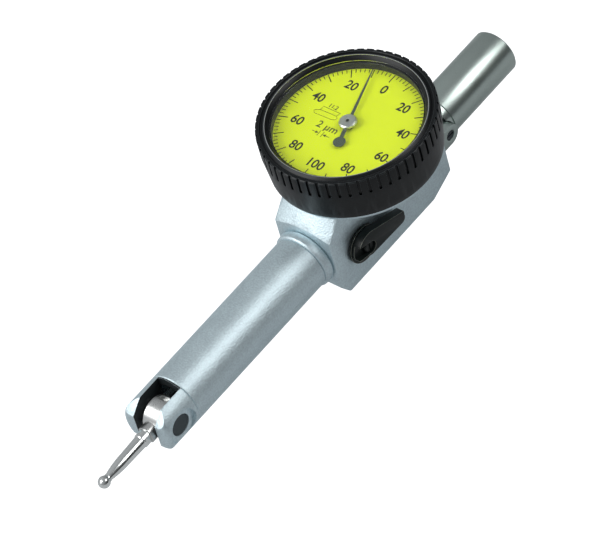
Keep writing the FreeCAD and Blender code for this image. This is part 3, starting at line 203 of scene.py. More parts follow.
class Effects:
    """Node groups that several finishes share."""

    FINE_SHARE = 0.7
    BLOTCH_SHARE = 0.3
    CLOUD_START = 0.4
    CLOUD_FULL = 0.75

    def __init__(self) -> None:
        """Build each group once."""
        self.grain = self._grain()
        self.lathe = self._lathe()
        self.haze = self._haze()

    def _grain(self) -> bpy.types.NodeTree:
        """Fine even blasted or moulded grain: a height and a value that varies slowly."""
        build = GroupBuilder("fine_grain", [
            Socket("Scale", default=6000.0),
            Socket("Blotch", default=300.0),
            Socket("Height", output=True),
            Socket("Tone", output=True),
        ])
        place = build.objects()
        fine = build.noise(build.inputs["Scale"], 2.0, place)
        blotch = build.noise(build.inputs["Blotch"], 3.0, place)
        build.link(fine, build.outputs["Height"])
        slow = build.math("MULTIPLY", blotch, self.BLOTCH_SHARE)
        build.link(build.math("MULTIPLY_ADD", fine, self.FINE_SHARE, slow), build.outputs["Tone"])
        return build.tree

    def _lathe(self) -> bpy.types.NodeTree:
        """Fine rings of a turned surface, seen as bands along one axis of the piece."""
        build = GroupBuilder("turned_rings", [
            Socket("Axis", "NodeSocketVector", (1.0, 0.0, 0.0)),
            Socket("Pitch", default=9000.0),
            Socket("Height", output=True),
        ])
        dot = build.node("ShaderNodeVectorMath", operation="DOT_PRODUCT")
        build.link(build.objects(), dot.inputs[0])
        build.link(build.inputs["Axis"], dot.inputs[1])
        line = build.node("ShaderNodeCombineXYZ")
        build.link(dot.outputs["Value"], line.inputs["X"])
        rings = build.noise(build.inputs["Pitch"], 2.0, line.outputs["Vector"])
        build.link(rings, build.outputs["Height"])
        return build.tree

    def _haze(self) -> bpy.types.NodeTree:
        """Faint dust and finger haze that raises roughness in soft patches."""
        build = GroupBuilder("haze", [
            Socket("Scale", default=220.0),
            Socket("Amount", default=0.1),
            Socket("Roughness", output=True),
        ])
        noise = build.noise(build.inputs["Scale"], 4.0, build.objects())
        cloud = build.ramp(noise, self.CLOUD_START, self.CLOUD_FULL)
        build.link(build.math("MULTIPLY", cloud, build.inputs["Amount"]), build.outputs["Roughness"])
        return build.tree


# --- finishes --------------------------------------------------------------------


def place_group(tree: bpy.types.NodeTree, group: bpy.types.NodeTree, **values: object) -> bpy.types.Node:
    """Place a shared node group in a material with its own values."""
    node = tree.nodes.new("ShaderNodeGroup")
    node.node_tree = group
    for name, value in values.items():
        node.inputs[name].default_value = value
    return node


@dataclass(frozen=True)
class Finish:
    """One finish: colour, gloss and the fine detail of its surface.

    Scales and pitches are in cells per metre, and heights are in metres.
    """

    name: str
    colour: Colour
    metallic: float = 0.0
    roughness: float = 0.5
    roughness_spread: float = 0.1
    tone_spread: float = 0.08
    grain_scale: float = 6000.0
    grain_height: float = 0.0
    rings_axis: Colour | None = None
    rings_pitch: float = 9000.0
    rings_height: float = 0.0
    haze: float = 0.05
    specular: float = 0.5

    def make(self, effects: Effects) -> bpy.types.Material:
        """Build the material.

        Args:
            effects: The shared node groups.

        Returns:
            The finished material.
        """
        material = bpy.data.materials.new(self.name)
        material.use_nodes = True
        tree = material.node_tree
        shader = tree.nodes["Principled BSDF"]
        shader.inputs["Metallic"].default_value = self.metallic
        shader.inputs["Specular IOR Level"].default_value = self.specular
        grain = place_group(tree, effects.grain, Scale=self.grain_scale)
        haze = place_group(tree, effects.haze, Amount=self.haze)
        tree.links.new(self._toned(tree, grain.outputs["Tone"]), shader.inputs["Base Color"])
        rough = tree.nodes.new("ShaderNodeMapRange")
        rough.inputs["To Min"].default_value = self.roughness - self.roughness_spread / 2
        rough.inputs["To Max"].default_value = self.roughness + self.roughness_spread / 2
        tree.links.new(grain.outputs["Tone"], rough.inputs["Value"])
        total = tree.nodes.new("ShaderNodeMath")
        total.operation = "ADD"
        tree.links.new(rough.outputs["Result"], total.inputs[0])
        tree.links.new(haze.outputs["Roughness"], total.inputs[1])
        tree.links.new(total.outputs[0], shader.inputs["Roughness"])
        self._relief(tree, shader, grain, effects)
        return material

    def _toned(self, tree: bpy.types.NodeTree, tone: bpy.types.NodeSocket) -> bpy.types.NodeSocket:
        """Base colour that varies a little with the grain."""
        mix = tree.nodes.new("ShaderNodeMix")
        mix.data_type = "RGBA"
        low = [max(0.0, c * (1 - self.tone_spread)) for c in self.colour]
        high = [min(1.0, c * (1 + self.tone_spread)) for c in self.colour]
        mix.inputs["A"].default_value = (*low, 1.0)
        mix.inputs["B"].default_value = (*high, 1.0)
        tree.links.new(tone, mix.inputs["Factor"])
        return mix.outputs["Result"]

    def _relief(self, tree: bpy.types.NodeTree, shader: bpy.types.Node,
                grain: bpy.types.Node, effects: Effects) -> None:
        """Bump from the grain and, where the piece was turned, from its rings."""
        if not (self.grain_height or self.rings_height):
            return
        bump = tree.nodes.new("ShaderNodeBump")
        bump.inputs["Distance"].default_value = self.grain_height
        tree.links.new(grain.outputs["Height"], bump.inputs["Height"])
        last = bump
        if self.rings_axis:
            rings = place_group(tree, effects.lathe, Axis=self.rings_axis, Pitch=self.rings_pitch)
            last = tree.nodes.new("ShaderNodeBump")
            last.inputs["Distance"].default_value = self.rings_height
            tree.links.new(rings.outputs["Height"], last.inputs["Height"])
            tree.links.new(bump.outputs["Normal"], last.inputs["Normal"])
        tree.links.new(last.outputs["Normal"], shader.inputs["Normal"])


@dataclass(frozen=True)
class Crystal:
    """Clear flat crystal."""

    name: str = "clear_crystal"
    tint: Colour = (0.99, 1.0, 0.99)
    ior: float = 1.45
    haze: float = 0.015

    def make(self, effects: Effects) -> bpy.types.Material:
        """Build a thin clear glass that lets light through to the dial.

        Args:
            effects: The shared node groups.

        Returns:
            The finished material.
        """
        material = bpy.data.materials.new(self.name)
        material.use_nodes = True
        tree = material.node_tree
        shader = tree.nodes["Principled BSDF"]
        shader.inputs["Base Color"].default_value = (*self.tint, 1.0)
        shader.inputs["Transmission Weight"].default_value = 1.0
        shader.inputs["IOR"].default_value = self.ior
        haze = place_group(tree, effects.haze, Amount=self.haze)
        tree.links.new(haze.outputs["Roughness"], shader.inputs["Roughness"])
        clear = tree.nodes.new("ShaderNodeBsdfTransparent")
        mix = tree.nodes.new("ShaderNodeMixShader")
        path = tree.nodes.new("ShaderNodeLightPath")
        tree.links.new(path.outputs["Is Shadow Ray"], mix.inputs["Fac"])
        tree.links.new(shader.outputs["BSDF"], mix.inputs[1])
        tree.links.new(clear.outputs["BSDF"], mix.inputs[2])
        output = tree.nodes["Material Output"]
        tree.links.new(mix.outputs["Shader"], output.inputs["Surface"])
        return material


SATIN_BODY = Finish(
    "satin_body", (0.625, 0.735, 0.81), metallic=0.94, roughness=0.50, roughness_spread=0.10,
    grain_scale=3400.0, grain_height=0.00006, tone_spread=0.32, haze=0.03,
)
# Painted highlight: the rounded edges of the body get a lighter metal colour than its faces, and a lower
# roughness for their gloss.
SATIN_EDGE_HIGHLIGHT = Finish(
    "satin_edge_painted_highlight", (0.78, 0.88, 0.94), metallic=1.0, roughness=0.30, grain_scale=3800.0,
    grain_height=0.00001,
)
BRIGHT_STEEL = Finish(
    "bright_steel", (0.80, 0.82, 0.81), metallic=1.0, roughness=0.14, roughness_spread=0.06,
    rings_axis=(1.0, 0.0, 0.0), rings_pitch=14000.0, rings_height=0.000004,
)
TURNED_HUB = Finish(
    "turned_hub", (0.66, 0.67, 0.66), metallic=1.0, roughness=0.30, roughness_spread=0.2,
    tone_spread=0.25, rings_axis=(0.0, 1.0, 0.0), rings_pitch=12000.0, rings_height=0.000012,
)
STEM_STEEL = Finish(
    "stem_steel", (0.46, 0.53, 0.50), metallic=1.0, roughness=0.30, roughness_spread=0.14,
    tone_spread=0.15, rings_axis=(1.0, 0.0, 0.0), rings_pitch=8000.0, rings_height=0.00001,
)
BLACK_RIM = Finish(
    "black_rim", (0.0035, 0.0048, 0.0055), roughness=0.33, roughness_spread=0.10,
    specular=0.28, grain_scale=7000.0, grain_height=0.000006,
)
# Painted highlight: the rounded edges of the black bezel's flutes get a lighter grey that draws bright
# lines along them.
RIM_EDGE_HIGHLIGHT = Finish("rim_edge_painted_highlight", (0.045, 0.055, 0.060), roughness=0.3, specular=0.6, tone_spread=0.4)
BLACK_LEVER = Finish(
    "black_lever", (0.006, 0.0095, 0.0085), roughness=0.36, specular=0.3, tone_spread=0.25,
    grain_scale=5000.0, grain_height=0.000012,
)
# Painted highlight: the rounded edges of the black lever get a light olive grey that draws a bright line
# along them.
LEVER_EDGE_HIGHLIGHT = Finish(
    "lever_edge_painted_highlight", (0.30, 0.31, 0.26), metallic=0.6, roughness=0.36, tone_spread=0.3,
)
YELLOW_DIAL = Finish(
    "yellow_dial", (0.56, 0.66, 0.004), roughness=0.6, tone_spread=0.02, haze=0.0, specular=0.2,
)
DARK_STEEL = Finish(
    "dark_steel", (0.045, 0.055, 0.062), metallic=0.6, roughness=0.42, grain_height=0.000008,
)
PLUG_SLATE = Finish(
    "plug_slate", (0.040, 0.056, 0.062), roughness=0.55, tone_spread=0.2, specular=0.4,
    rings_axis=(0.0, 1.0, 0.0), grain_height=0.00001,
)
BRASS = Finish(
    "brass_movement", (0.62, 0.46, 0.20), metallic=1.0, roughness=0.3,
    rings_axis=(1.0, 0.0, 0.0), rings_height=0.000004,
)
BLUED_SPRING = Finish(
    "spring_steel", (0.16, 0.20, 0.34), metallic=1.0, roughness=0.25,
)
HAND_BLACK = Finish("hand_black", (0.010, 0.014, 0.008), roughness=0.4, specular=0.3)
TAIL_GREEN = Finish("tail_green", (0.040, 0.058, 0.040), roughness=0.45, specular=0.4)
# Painted shade: near-black finish for faces that stand in shadow.
PAINTED_SHADE_FINISH = Finish("painted_shade", (0.020, 0.026, 0.028), roughness=0.5, specular=0.3, metallic=0.3)
# Painted highlight: bright metal for the ring on the bezel's crest.
CREST_HIGHLIGHT = Finish("crest_painted_highlight", (0.85, 0.87, 0.85), metallic=1.0, roughness=0.22)
# Painted reflection and shade: the retainer wall is coloured dark olive, the yellow dial as mirrored in
# the shadowed inner wall.
WALL_REFLECTION_OLIVE = Finish("wall_painted_reflection", (0.020, 0.025, 0.010), roughness=0.55, specular=0.2)
CAP_SILVER = Finish(
    "cap_silver", (0.62, 0.65, 0.63), metallic=1.0, roughness=0.30, roughness_spread=0.2,
    tone_spread=0.2, grain_scale=3000.0, grain_height=0.00002,
)
PRINT_BLACK = Finish("print_black", (0.006, 0.010, 0.002), roughness=0.6, specular=0.2)
PRINT_OLIVE = Finish("print_olive", (0.055, 0.065, 0.006), roughness=0.6, specular=0.2)
CRYSTAL = Crystal()


class Paintbox:
    """Materials by finish, each made once."""

    def __init__(self) -> None:
        """Start with the shared effects and no material."""
        self.effects = Effects()
        self.made: dict[str, bpy.types.Material] = {}

    def get(self, finish: Finish | Crystal) -> bpy.types.Material:
        """Material of a finish, made at its first use."""
        if finish.name not in self.made:
            self.made[finish.name] = finish.make(self.effects)
        return self.made[finish.name]

    def dress(self, obj: bpy.types.Object, finish: Finish | Crystal) -> None:
        """Give every slot of an object one finish."""
        material = self.get(finish)
        if not obj.data.materials:
            obj.data.materials.append(material)
        for slot in obj.material_slots:
            slot.material = material


# --- shared mesh helpers ------------------------------------------------------------


def finish_mesh(name: str, mesh: bmesh.types.BMesh, smooth_angle: float = 35.0) -> bpy.types.Object:
    """Turn a bmesh into an object whose flat faces stay flat.

    Args:
        name: Name of the new piece.
        mesh: The finished bmesh, which is freed.
        smooth_angle: Edges sharper than this many degrees stay sharp.

    Returns:
        The object, linked to the scene.
    """
    data = bpy.data.meshes.new(name)
    limit = math.radians(smooth_angle)
    for face in mesh.faces:
        face.smooth = True
    for edge in mesh.edges:
        edge.smooth = len(edge.link_faces) == 2 and edge.calc_face_angle(0.0) < limit
    mesh.to_mesh(data)
    mesh.free()
    made = bpy.data.objects.new(name, data)
    bpy.context.scene.collection.objects.link(made)
    return made


def spun(outline: Sequence[tuple[float, float]], steps: int) -> bmesh.types.BMesh:
    """Turn a closed (radius, height) outline in millimetres about the Z axis.

    Args:
        outline: Corners of the section.
        steps: Number of segments round the turn.

    Returns:
        The turned bmesh in metres.
    """
    mesh = bmesh.new()
    corners = [mesh.verts.new((r * MM, 0.0, z * MM)) for r, z in outline]
    for first, second in zip(corners, corners[1:] + corners[:1]):
        mesh.edges.new((first, second))
    bmesh.ops.spin(
        mesh, geom=mesh.verts[:] + mesh.edges[:], cent=(0, 0, 0), axis=(0, 0, 1),
        angle=math.tau, steps=steps, use_merge=True,
    )
    bmesh.ops.remove_doubles(mesh, verts=mesh.verts, dist=MERGE_GAP)
    bmesh.ops.recalc_face_normals(mesh, faces=mesh.faces)
    return mesh


# --- dial -----------------------------------------------------------------------------


@dataclass
class Dial:
    """Graduations, numerals and small marks printed on the dial plate.

    Lengths and places are in millimetres, except the plate's own height.
    """

    paints: Paintbox
    face_z: float
    ink: float = 0.03
    graduations: int = 100
    outer: float = 11.93
    short_inner: float = 11.23
    long_inner: float = 10.24
    long_every: int = 5
    long_width: float = 0.15
    short_width: float = 0.12
    numeral_radius: float = 8.78
    numeral_height: float = 1.68
    numeral_shift: tuple[float, float] = (-0.22, -0.31)
    numerals: tuple[str, ...] = ("0", "20", "40", "60", "80", "100")
    digit_share: float = 0.7
    step_height: float = 1.35
    step_place: tuple[float, float] = (-1.97, 2.72)
    length_height: float = 0.75
    length_place: tuple[float, float] = (1.95, 4.6)
    arrow_width: float = 0.09
    pictogram_width: float = 0.06

    def build(self) -> list[bpy.types.Object]:
        """Make every mark and return the printed pieces."""
        return [self.scale(), *self.numbers(), *self.labels(), self.arrows(), self.pictogram()]

    def scale(self) -> bpy.types.Object:
        """Ring of graduation lines."""
        mesh = bmesh.new()
        for step in range(self.graduations):
            long = step % self.long_every == 0
            inner = self.long_inner if long else self.short_inner
            width = self.long_width if long else self.short_width
            self.line(mesh, (inner, 0.0), (self.outer, 0.0), width, math.tau * step / self.graduations)
        made = finish_mesh("dial_graduations", mesh)
        self.paints.dress(made, PRINT_BLACK)
        return made

    def line(self, mesh: bmesh.types.BMesh, start: tuple[float, float], end: tuple[float, float],
             width: float, turn: float = 0.0) -> None:
        """Add one straight printed line.

        Args:
            mesh: Mesh that takes the line.
            start: First end in millimetres on the dial plane.
            end: Other end.
            width: Line width in millimetres.
            turn: Angle about the dial axis in radians.
        """
        a, b = Vector(start), Vector(end)
        along = b - a
        made = bmesh.ops.create_cube(mesh, size=1.0)
        middle = (a + b) / 2
        place = (
            Matrix.Rotation(turn, 4, "Z")
            @ Matrix.Translation((middle.x * MM, middle.y * MM, self.face_z + self.ink * MM / 2))
            @ Matrix.Rotation(math.atan2(along.y, along.x), 4, "Z")
            @ Matrix.Diagonal((along.length * MM, width * MM, self.ink * MM, 1.0))
        )
        bmesh.ops.transform(mesh, matrix=place, verts=made["verts"])

    def text(self, name: str, words: str, height: float, place: tuple[float, float],
             face: Face, finish: Finish) -> bpy.types.Object:
        """Print words upright for a reader who looks towards the stem.

        Args:
            name: Name of the piece.
            words: What it says.
            height: Height of the digits in millimetres.
            place: Middle of the words in millimetres on the dial plane.
            face: Kind of lettering.
            finish: Ink.

        Returns:
            The flat mesh of the words.
        """
        curve = bpy.data.curves.new(name, "FONT")
        curve.body = words
        curve.size = height * MM / self.digit_share
        curve.align_x = "CENTER"
        curve.align_y = "CENTER"
        curve.extrude = self.ink * MM / 2
        curve.offset = face.weight * height * MM
        curve.resolution_u = 6
        holder = bpy.data.objects.new(name, curve)
        bpy.context.scene.collection.objects.link(holder)
        bpy.context.view_layer.update()
        data = bpy.data.meshes.new_from_object(holder)
        bpy.data.objects.remove(holder)
        data.transform(
            Matrix.Translation((place[0] * MM, place[1] * MM, self.face_z + self.ink * MM / 2))
            @ Matrix.Rotation(-math.pi / 2, 4, "Z")
            @ Matrix.Diagonal((face.narrowing, 1.0, 1.0, 1.0))
        )
        made = bpy.data.objects.new(name, data)
        bpy.context.scene.collection.objects.link(made)
        self.paints.dress(made, finish)
        return made

    def numbers(self) -> list[bpy.types.Object]:
        """Numerals from 0 at the stem side round both ways to 100."""
        made = []
        last = len(self.numerals) - 1
        for index, words in enumerate(self.numerals):
            for side in ((1,) if index in (0, last) else (1, -1)):
                angle = side * math.pi * index / last
                x = self.numeral_radius * math.cos(angle) + self.numeral_shift[0]
                y = self.numeral_radius * math.sin(angle) + self.numeral_shift[1]
                name = f"numeral_{words}_{'left' if side > 0 else 'right'}"
                made.append(
                    self.text(name, words, self.numeral_height, (x, y), Face.NUMERAL, PRINT_BLACK)
                )
        return made

    def labels(self) -> list[bpy.types.Object]:
        """Value of a graduation and length of the contact point."""
        marks = (
            ("label_step", "2 µm", self.step_height, self.step_place),
            ("label_length", "11.2", self.length_height, self.length_place),
        )
        return [self.text(*mark, Face.LABEL, PRINT_OLIVE) for mark in marks]

    def arrows(self) -> bpy.types.Object:
        """Two small arrows that close on the gap between two bars."""
        mesh = bmesh.new()
        x, middle, half_gap, half_bar = -3.52, 2.90, 0.35, 0.55
        tip, shaft_start, shaft_end = 0.08, 0.5, 1.35
        for side in (1, -1):
            bar = middle + half_gap * side
            self.line(mesh, (x - half_bar, bar), (x + half_bar, bar), self.arrow_width)
            shaft = [(x, bar + reach * side) for reach in (shaft_start, shaft_end)]
            self.line(mesh, *shaft, self.arrow_width)
            self.head(mesh, (x, bar + tip * side), side)
        made = finish_mesh("dial_arrows", mesh)
        self.paints.dress(made, PRINT_OLIVE)
        return made

    def head(self, mesh: bmesh.types.BMesh, tip: tuple[float, float], side: int) -> None:
        """Add a filled arrow head that points along Y against the given side.

        Args:
            mesh: Mesh that takes the head.
            tip: Its point in millimetres on the dial plane.
            side: 1 where the arrow comes from +Y, -1 where it comes from -Y.
        """
        length, half = 0.55, 0.26
        made = bmesh.ops.create_cone(
            mesh, cap_ends=True, segments=3, radius1=MM, radius2=MM, depth=self.ink * MM,
        )
        middle = tip[1] + side * length * 2 / 3
        place = (
            Matrix.Translation((tip[0] * MM, middle * MM, self.face_z + self.ink * MM / 2))
            @ Matrix.Diagonal((half / math.cos(math.pi / 6), length / 1.5, 1.0, 1.0))
            @ Matrix.Rotation(-side * math.pi / 2 - math.pi / 2, 4, "Z")
        )
        bmesh.ops.transform(mesh, matrix=place, verts=made["verts"])

    def pictogram(self) -> bpy.types.Object:
        """Outline drawing of the contact point at the end of its body."""
        mesh = bmesh.new()
        shoulder, throat = (0.55, 6.15), (0.6, 3.0)
        outline = (
            throat, (1.35, 2.75), (1.35, 6.1), shoulder, (0.25, 6.75), (0.0, 7.0),
            (-0.45, 6.6), (-0.35, 3.3), (-0.1, 2.7), (0.3, 2.55), throat, shoulder,
        )
        for start, end in zip(outline, outline[1:]):
            self.line(mesh, start, end, self.pictogram_width)
        made = finish_mesh("dial_pictogram", mesh)
        self.paints.dress(made, PRINT_OLIVE)
        return made


# --- pieces with softened edges ---------------------------------------------------------


@dataclass(frozen=True)
class Softening:
    """How the edges of one solid are rounded and what it is made of.

    The edge finish is a painted highlight on the rounded edges, and the faces inside the dark box are
    painted shade. The width and the corners of the dark box are in millimetres, and angles are in
    degrees.
    """

    node: str
    body: Body
    finish: Finish
    width: float
    highlight_finish: Finish | None = None
    segments: int = 2
    sharp: float = 28.0
    flat: float = 0.4
    smooth: float = 40.0
    dark: tuple[tuple[float, float, float], tuple[float, float, float]] | None = None


class SoftPart:
    """Copy of a solid whose outside edges are rounded, put in the solid's place."""

    def __init__(self, source: bpy.types.Object, plan: Softening, paints: Paintbox) -> None:
        """Keep what is needed to build the piece.

        Args:
            source: The solid.
            plan: How it is treated.
            paints: Where the material comes from.
        """
        self.source = source
        self.plan = plan
        self.paints = paints

    def build(self) -> bpy.types.Object:
        """Merge, round and dress the copy.

        Returns:
            The finished piece.
        """
        mesh = bmesh.new()
        mesh.from_mesh(self.source.data)
        bmesh.ops.remove_doubles(mesh, verts=mesh.verts, dist=MERGE_GAP)
        bmesh.ops.dissolve_limit(
            mesh, angle_limit=math.radians(self.plan.flat), verts=mesh.verts, edges=mesh.edges
        )
        limit = math.radians(self.plan.sharp)
        edges = [
            edge for edge in mesh.edges
            if len(edge.link_faces) == 2 and edge.is_convex and edge.calc_face_angle() > limit
        ]
        rounded = bmesh.ops.bevel(
            mesh, geom=edges, offset=self.plan.width * MM, offset_type="OFFSET",
            segments=self.plan.segments, profile=0.5, affect="EDGES", clamp_overlap=True,
            material=-1,
        )
        bmesh.ops.recalc_face_normals(mesh, faces=mesh.faces)
        for face in mesh.faces:
            face.material_index = Slot.FACES
        # Painted highlight: the rounded edges take the lighter edge finish.
        if self.plan.highlight_finish:
            for face in rounded["faces"]:
                face.material_index = Slot.EDGES
        # Painted shade: plain faces inside the dark box take the near-black finish.
        if self.plan.dark:
            self.paint_shade(mesh, *self.plan.dark)
        made = finish_mesh(f"{self.plan.node}_soft", mesh, self.plan.smooth)
        finishes = (self.plan.finish, self.plan.highlight_finish or self.plan.finish, PAINTED_SHADE_FINISH)
        for finish in finishes:
            made.data.materials.append(self.paints.get(finish))
        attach(made, self.plan.body.value)
        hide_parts(self.plan.node)
        LOG.info("%s takes the place of %s", made.name, self.plan.node)
        return made

    @staticmethod
    def paint_shade(mesh: bmesh.types.BMesh, low: Sequence[float], high: Sequence[float]) -> None:
        """Paint the plain faces inside a box dark, as painted shade.

        Args:
            mesh: The piece.
            low: Lowest corner of the box in millimetres.
            high: Highest corner of the box.
        """
        for face in mesh.faces:
            middle = face.calc_center_median() / MM
            inside = all(a < c < b for a, c, b in zip(low, middle, high))
            if inside and face.material_index == Slot.FACES:
                face.material_index = Slot.DARK


SOFTENED = (
    Softening("housing", Body.CASE, SATIN_BODY, 0.10, SATIN_EDGE_HIGHLIGHT),
    # The fork's dark box holds the far ear's inner wall, painted dark as shade.
    Softening(
        "fork", Body.CASE, SATIN_BODY, 0.12, SATIN_EDGE_HIGHLIGHT,
        dark=((-56.0, -2.36, 0.0), (-46.0, 2.06, 15.0)),
    ),
    Softening("tube_collar", Body.CASE, SATIN_BODY, 0.10),
    Softening("bezel", Body.BEZEL, BLACK_RIM, 0.06, RIM_EDGE_HIGHLIGHT),
    Softening("reversing_lever", Body.REVERSER, BLACK_LEVER, 0.18, LEVER_EDGE_HIGHLIGHT),
    Softening("stem_bracket", Body.CASE, STEM_STEEL, 0.12),
    Softening("stem", Body.STEM, STEM_STEEL, 0.08),
)


@dataclass
class CapDimpleShade:
    """Dark disc on top of the pointer's cap, painted shade for its small centre hole."""

    paints: Paintbox
    cap_z: float
    radius: float = 0.26
    depth: float = 0.02
    segments: int = 24

    def build(self) -> bpy.types.Object:
        """Make the dark disc that paints the hole's shade."""
        mesh = bmesh.new()
        bmesh.ops.create_cone(
            mesh, cap_ends=True, segments=self.segments, radius1=self.radius * MM,
            radius2=self.radius * MM, depth=self.depth * MM,
        )
        bmesh.ops.translate(mesh, verts=mesh.verts, vec=(0, 0, self.cap_z))
        made = finish_mesh("cap_dimple_shade", mesh)
        self.paints.dress(made, HAND_BLACK)
        return made


@dataclass
class CrestHighlightRing:
    """Thin bright metal ring where the crystal's seat meets the crest of the bezel, a painted highlight
    on the black bezel.
    """

    paints: Paintbox
    crest_z: float
    radius: float = 12.95
    width: float = 0.09
    depth: float = 0.12
    steps: int = 160

    def build(self) -> bpy.types.Object:
        """Turn the thin ring of painted highlight."""
        inner, low, top = self.radius - self.width, self.crest_z - self.depth, self.crest_z
        section = [(inner, low), (self.radius, low), (self.radius, top), (inner, top)]
        made = finish_mesh("crest_highlight_ring", spun(section, self.steps))
        self.paints.dress(made, CREST_HIGHLIGHT)
        return made


# --- stage -----------------------------------------------------------------------------


@dataclass(frozen=True)
class Lamp:
    """One square soft lamp, placed by two angles and a distance.

    The azimuth is 0 in front of the lever side. Angles are in degrees, the distance and the
    side of the lamp in metres, and the power in watts.
    """

    name: str
    azimuth: float
    elevation: float
    distance: float
    size: float
    power: float


@dataclass
class Studio:
    """Pale floor, soft lamps and the camera.

    Angles are in degrees, and lengths in millimetres, except that the floor's size and the
    camera's clip start are in metres.
    """

    floor_drop: float = 12.0
    floor_size: float = 3.0
    floor_glow: float = 0.84
    floor_colour: Colour = (0.50, 0.51, 0.52)
    floor_roughness: float = 0.8
    world_colour: Colour = (0.94, 0.97, 1.0)
    world_dim: float = 0.05
    world_bright: float = 0.50
    bright_side: tuple[float, float, float] = (-0.45, 0.65, 0.61)
    bright_range: tuple[float, float] = (-0.5, 0.9)
    azimuth: float = -39.15
    elevation: float = 46.68
    roll: float = -16.78
    distance: float = 713.94
    target: tuple[float, float, float] = (-14.67, 3.60, 1.38)
    lens: float = 273.7
    sensor: float = 36.0
    clip_start: float = 0.05
    lamps: tuple[Lamp, ...] = (
        Lamp("key", -122.0, 42.0, 0.9, 0.6, 4.6),
        Lamp("front", 39.0, 50.0, 0.9, 0.45, 2.7),
    )

    def build(self) -> None:
        """Set up the whole stage."""
        self.floor()
        self.world()
        for plan in self.lamps:
            self.lamp(plan)
        self.camera()
        bpy.context.scene.view_settings.view_transform = "Standard"

    def direction(self, azimuth: float, elevation: float) -> Vector:
        """Unit vector from the object towards a place given by two angles in degrees."""
        a, e = math.radians(azimuth), math.radians(elevation)
        return Vector((math.cos(e) * math.sin(a), -math.cos(e) * math.cos(a), math.sin(e)))

    def floor(self) -> None:
        """Large plain pale floor a little below the object."""
        mesh = bmesh.new()
        bmesh.ops.create_grid(mesh, x_segments=1, y_segments=1, size=self.floor_size)
        bmesh.ops.translate(mesh, verts=mesh.verts, vec=(0, 0, -self.floor_drop * MM))
        floor = finish_mesh("studio_floor", mesh)
        material = bpy.data.materials.new("pale_floor")
        material.use_nodes = True
        tree = material.node_tree
        shader = tree.nodes["Principled BSDF"]
        shader.inputs["Base Color"].default_value = (*self.floor_colour, 1.0)
        shader.inputs["Roughness"].default_value = self.floor_roughness
        shader.inputs["Emission Color"].default_value = (1.0, 1.0, 1.0, 1.0)
        path = tree.nodes.new("ShaderNodeLightPath")
        seen = tree.nodes.new("ShaderNodeMath")
        seen.operation = "MAXIMUM"
        tree.links.new(path.outputs["Is Camera Ray"], seen.inputs[0])
        tree.links.new(path.outputs["Is Transmission Ray"], seen.inputs[1])
        glow = tree.nodes.new("ShaderNodeMath")
        glow.operation = "MULTIPLY"
        glow.inputs[1].default_value = self.floor_glow
        tree.links.new(seen.outputs[0], glow.inputs[0])
        tree.links.new(glow.outputs[0], shader.inputs["Emission Strength"])
        floor.data.materials.append(material)

    def world(self) -> None:
        """Surroundings that the camera sees as white, and that light one side more."""
        world = bpy.data.worlds.new("studio_world")
        bpy.context.scene.world = world
        world.use_nodes = True
        tree = world.node_tree
        back = tree.nodes["Background"]
        back.inputs["Color"].default_value = (*self.world_colour, 1.0)
        path = tree.nodes.new("ShaderNodeLightPath")
        place = tree.nodes.new("ShaderNodeTexCoord")
        dot = tree.nodes.new("ShaderNodeVectorMath")
        dot.operation = "DOT_PRODUCT"
        dot.inputs[1].default_value = self.bright_side
        tree.links.new(place.outputs["Generated"], dot.inputs[0])
        shade = tree.nodes.new("ShaderNodeMapRange")
        shade.inputs["From Min"].default_value = self.bright_range[0]
        shade.inputs["From Max"].default_value = self.bright_range[1]
        shade.inputs["To Min"].default_value = self.world_dim
        shade.inputs["To Max"].default_value = self.world_bright
        tree.links.new(dot.outputs["Value"], shade.inputs["Value"])
        level = tree.nodes.new("ShaderNodeMapRange")
        level.inputs["To Max"].default_value = 1.0
        tree.links.new(shade.outputs["Result"], level.inputs["To Min"])
        tree.links.new(path.outputs["Is Camera Ray"], level.inputs["Value"])
        tree.links.new(level.outputs["Result"], back.inputs["Strength"])

    def lamp(self, plan: Lamp) -> None:
        """Add one lamp that faces the object."""
        data = bpy.data.lights.new(plan.name, "AREA")
        data.size = plan.size
        data.energy = plan.power
        lamp = bpy.data.objects.new(plan.name, data)
        bpy.context.scene.collection.objects.link(lamp)
        towards = self.direction(plan.azimuth, plan.elevation)
        lamp.location = towards * plan.distance
        lamp.rotation_euler = towards.to_track_quat("Z", "Y").to_euler()

    def camera(self) -> None:
        """Long-lens camera above the lever side, rolled so that the tube runs down to the left."""
        data = bpy.data.cameras.new("camera")
        data.lens = self.lens
        data.sensor_width = self.sensor
        data.sensor_fit = "HORIZONTAL"
        data.clip_start = self.clip_start
        camera = bpy.data.objects.new("camera", data)
        bpy.context.scene.collection.objects.link(camera)
        back = self.direction(self.azimuth, self.elevation)
        camera.location = (Vector(self.target) + back * self.distance) * MM
        level = back.to_track_quat("Z", "Y")
        camera.rotation_mode = "QUATERNION"
        camera.rotation_quaternion = Quaternion(back, math.radians(self.roll)) @ level
        bpy.context.scene.camera = camera


# --- assembly -----------------------------------------------------------------------------


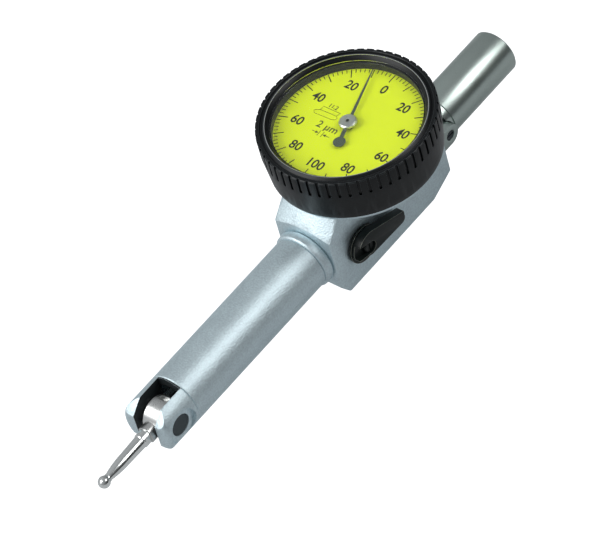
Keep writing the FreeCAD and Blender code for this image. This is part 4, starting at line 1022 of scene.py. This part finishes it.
NODE_FINISHES: dict[Finish | Crystal, tuple[str, ...]] = {
    SATIN_BODY: ("housing", "tube_collar", "probe_tube", "fork"),
    BRIGHT_STEEL: ("contact_stylus", "contact_ball", "lever_arm"),
    TURNED_HUB: ("pivot_hub", "pivot_shaft", "clutch_washer"),
    STEM_STEEL: ("stem", "stem_bracket"),
    BLACK_RIM: ("bezel",),
    BLACK_LEVER: ("reversing_lever", "lever_screw"),
    YELLOW_DIAL: ("dial_face",),
    CRYSTAL: ("crystal",),
    TAIL_GREEN: ("pointer",),
    PLUG_SLATE: ("pivot_bearings",),
    WALL_REFLECTION_OLIVE: ("dial_retainer",),
    CAP_SILVER: ("pointer_cap",),
    DARK_STEEL: (
        "lever_shaft", "lever_bush", "lever_washer", "drive_pin",
        "frame_screws", "bridge_screws", "pointer_arbor", "crown_arbor", "sector_arbor",
        # Painted shade: stem_screw takes the dark steel so that it reads as the dark hole it sits in.
        "pointer_pinion", "crown_pinion", "frame_pillars", "bridge_pillars", "stem_screw",
    ),
    BRASS: (
        "frame_plate_near", "frame_plate_far", "pointer_cock", "top_bridge", "sector_gear",
        "crown_wheel", "hairspring_collet", "hairspring_stud",
    ),
    BLUED_SPRING: ("hairspring", "bezel_spring", "bias_spring"),
}


def dress_nodes(nodes: dict[str, bpy.types.Object], paints: Paintbox) -> None:
    """Give each carried-over solid its finish.

    Args:
        nodes: The solids by name.
        paints: Where the materials come from.
    """
    for finish, names in NODE_FINISHES.items():
        for name in names:
            paints.dress(nodes[name], finish)


def report(pieces: Iterable[bpy.types.Object], body: Body) -> None:
    """Let pieces ride on a body and log each one."""
    for piece in pieces:
        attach(piece, body.value)
        LOG.info("%s rides on %s", piece.name, body.value)


def main() -> None:
    """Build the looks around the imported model."""
    logging.basicConfig(level=logging.INFO, format="%(name)s: %(message)s")
    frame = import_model()
    paints = Paintbox()
    dress_nodes(frame["nodes"], paints)
    dial_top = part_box("dial_face")[1].z
    report(Dial(paints, dial_top).build(), Body.BEZEL)
    report([CrestHighlightRing(paints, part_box("bezel")[1].z / MM).build()], Body.BEZEL)
    report([CapDimpleShade(paints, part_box("pointer_cap")[1].z).build()], Body.POINTER)
    for plan in SOFTENED:
        SoftPart(frame["nodes"][plan.node], plan, paints).build()
    Studio().build()


if __name__ == "__main__":
    main()
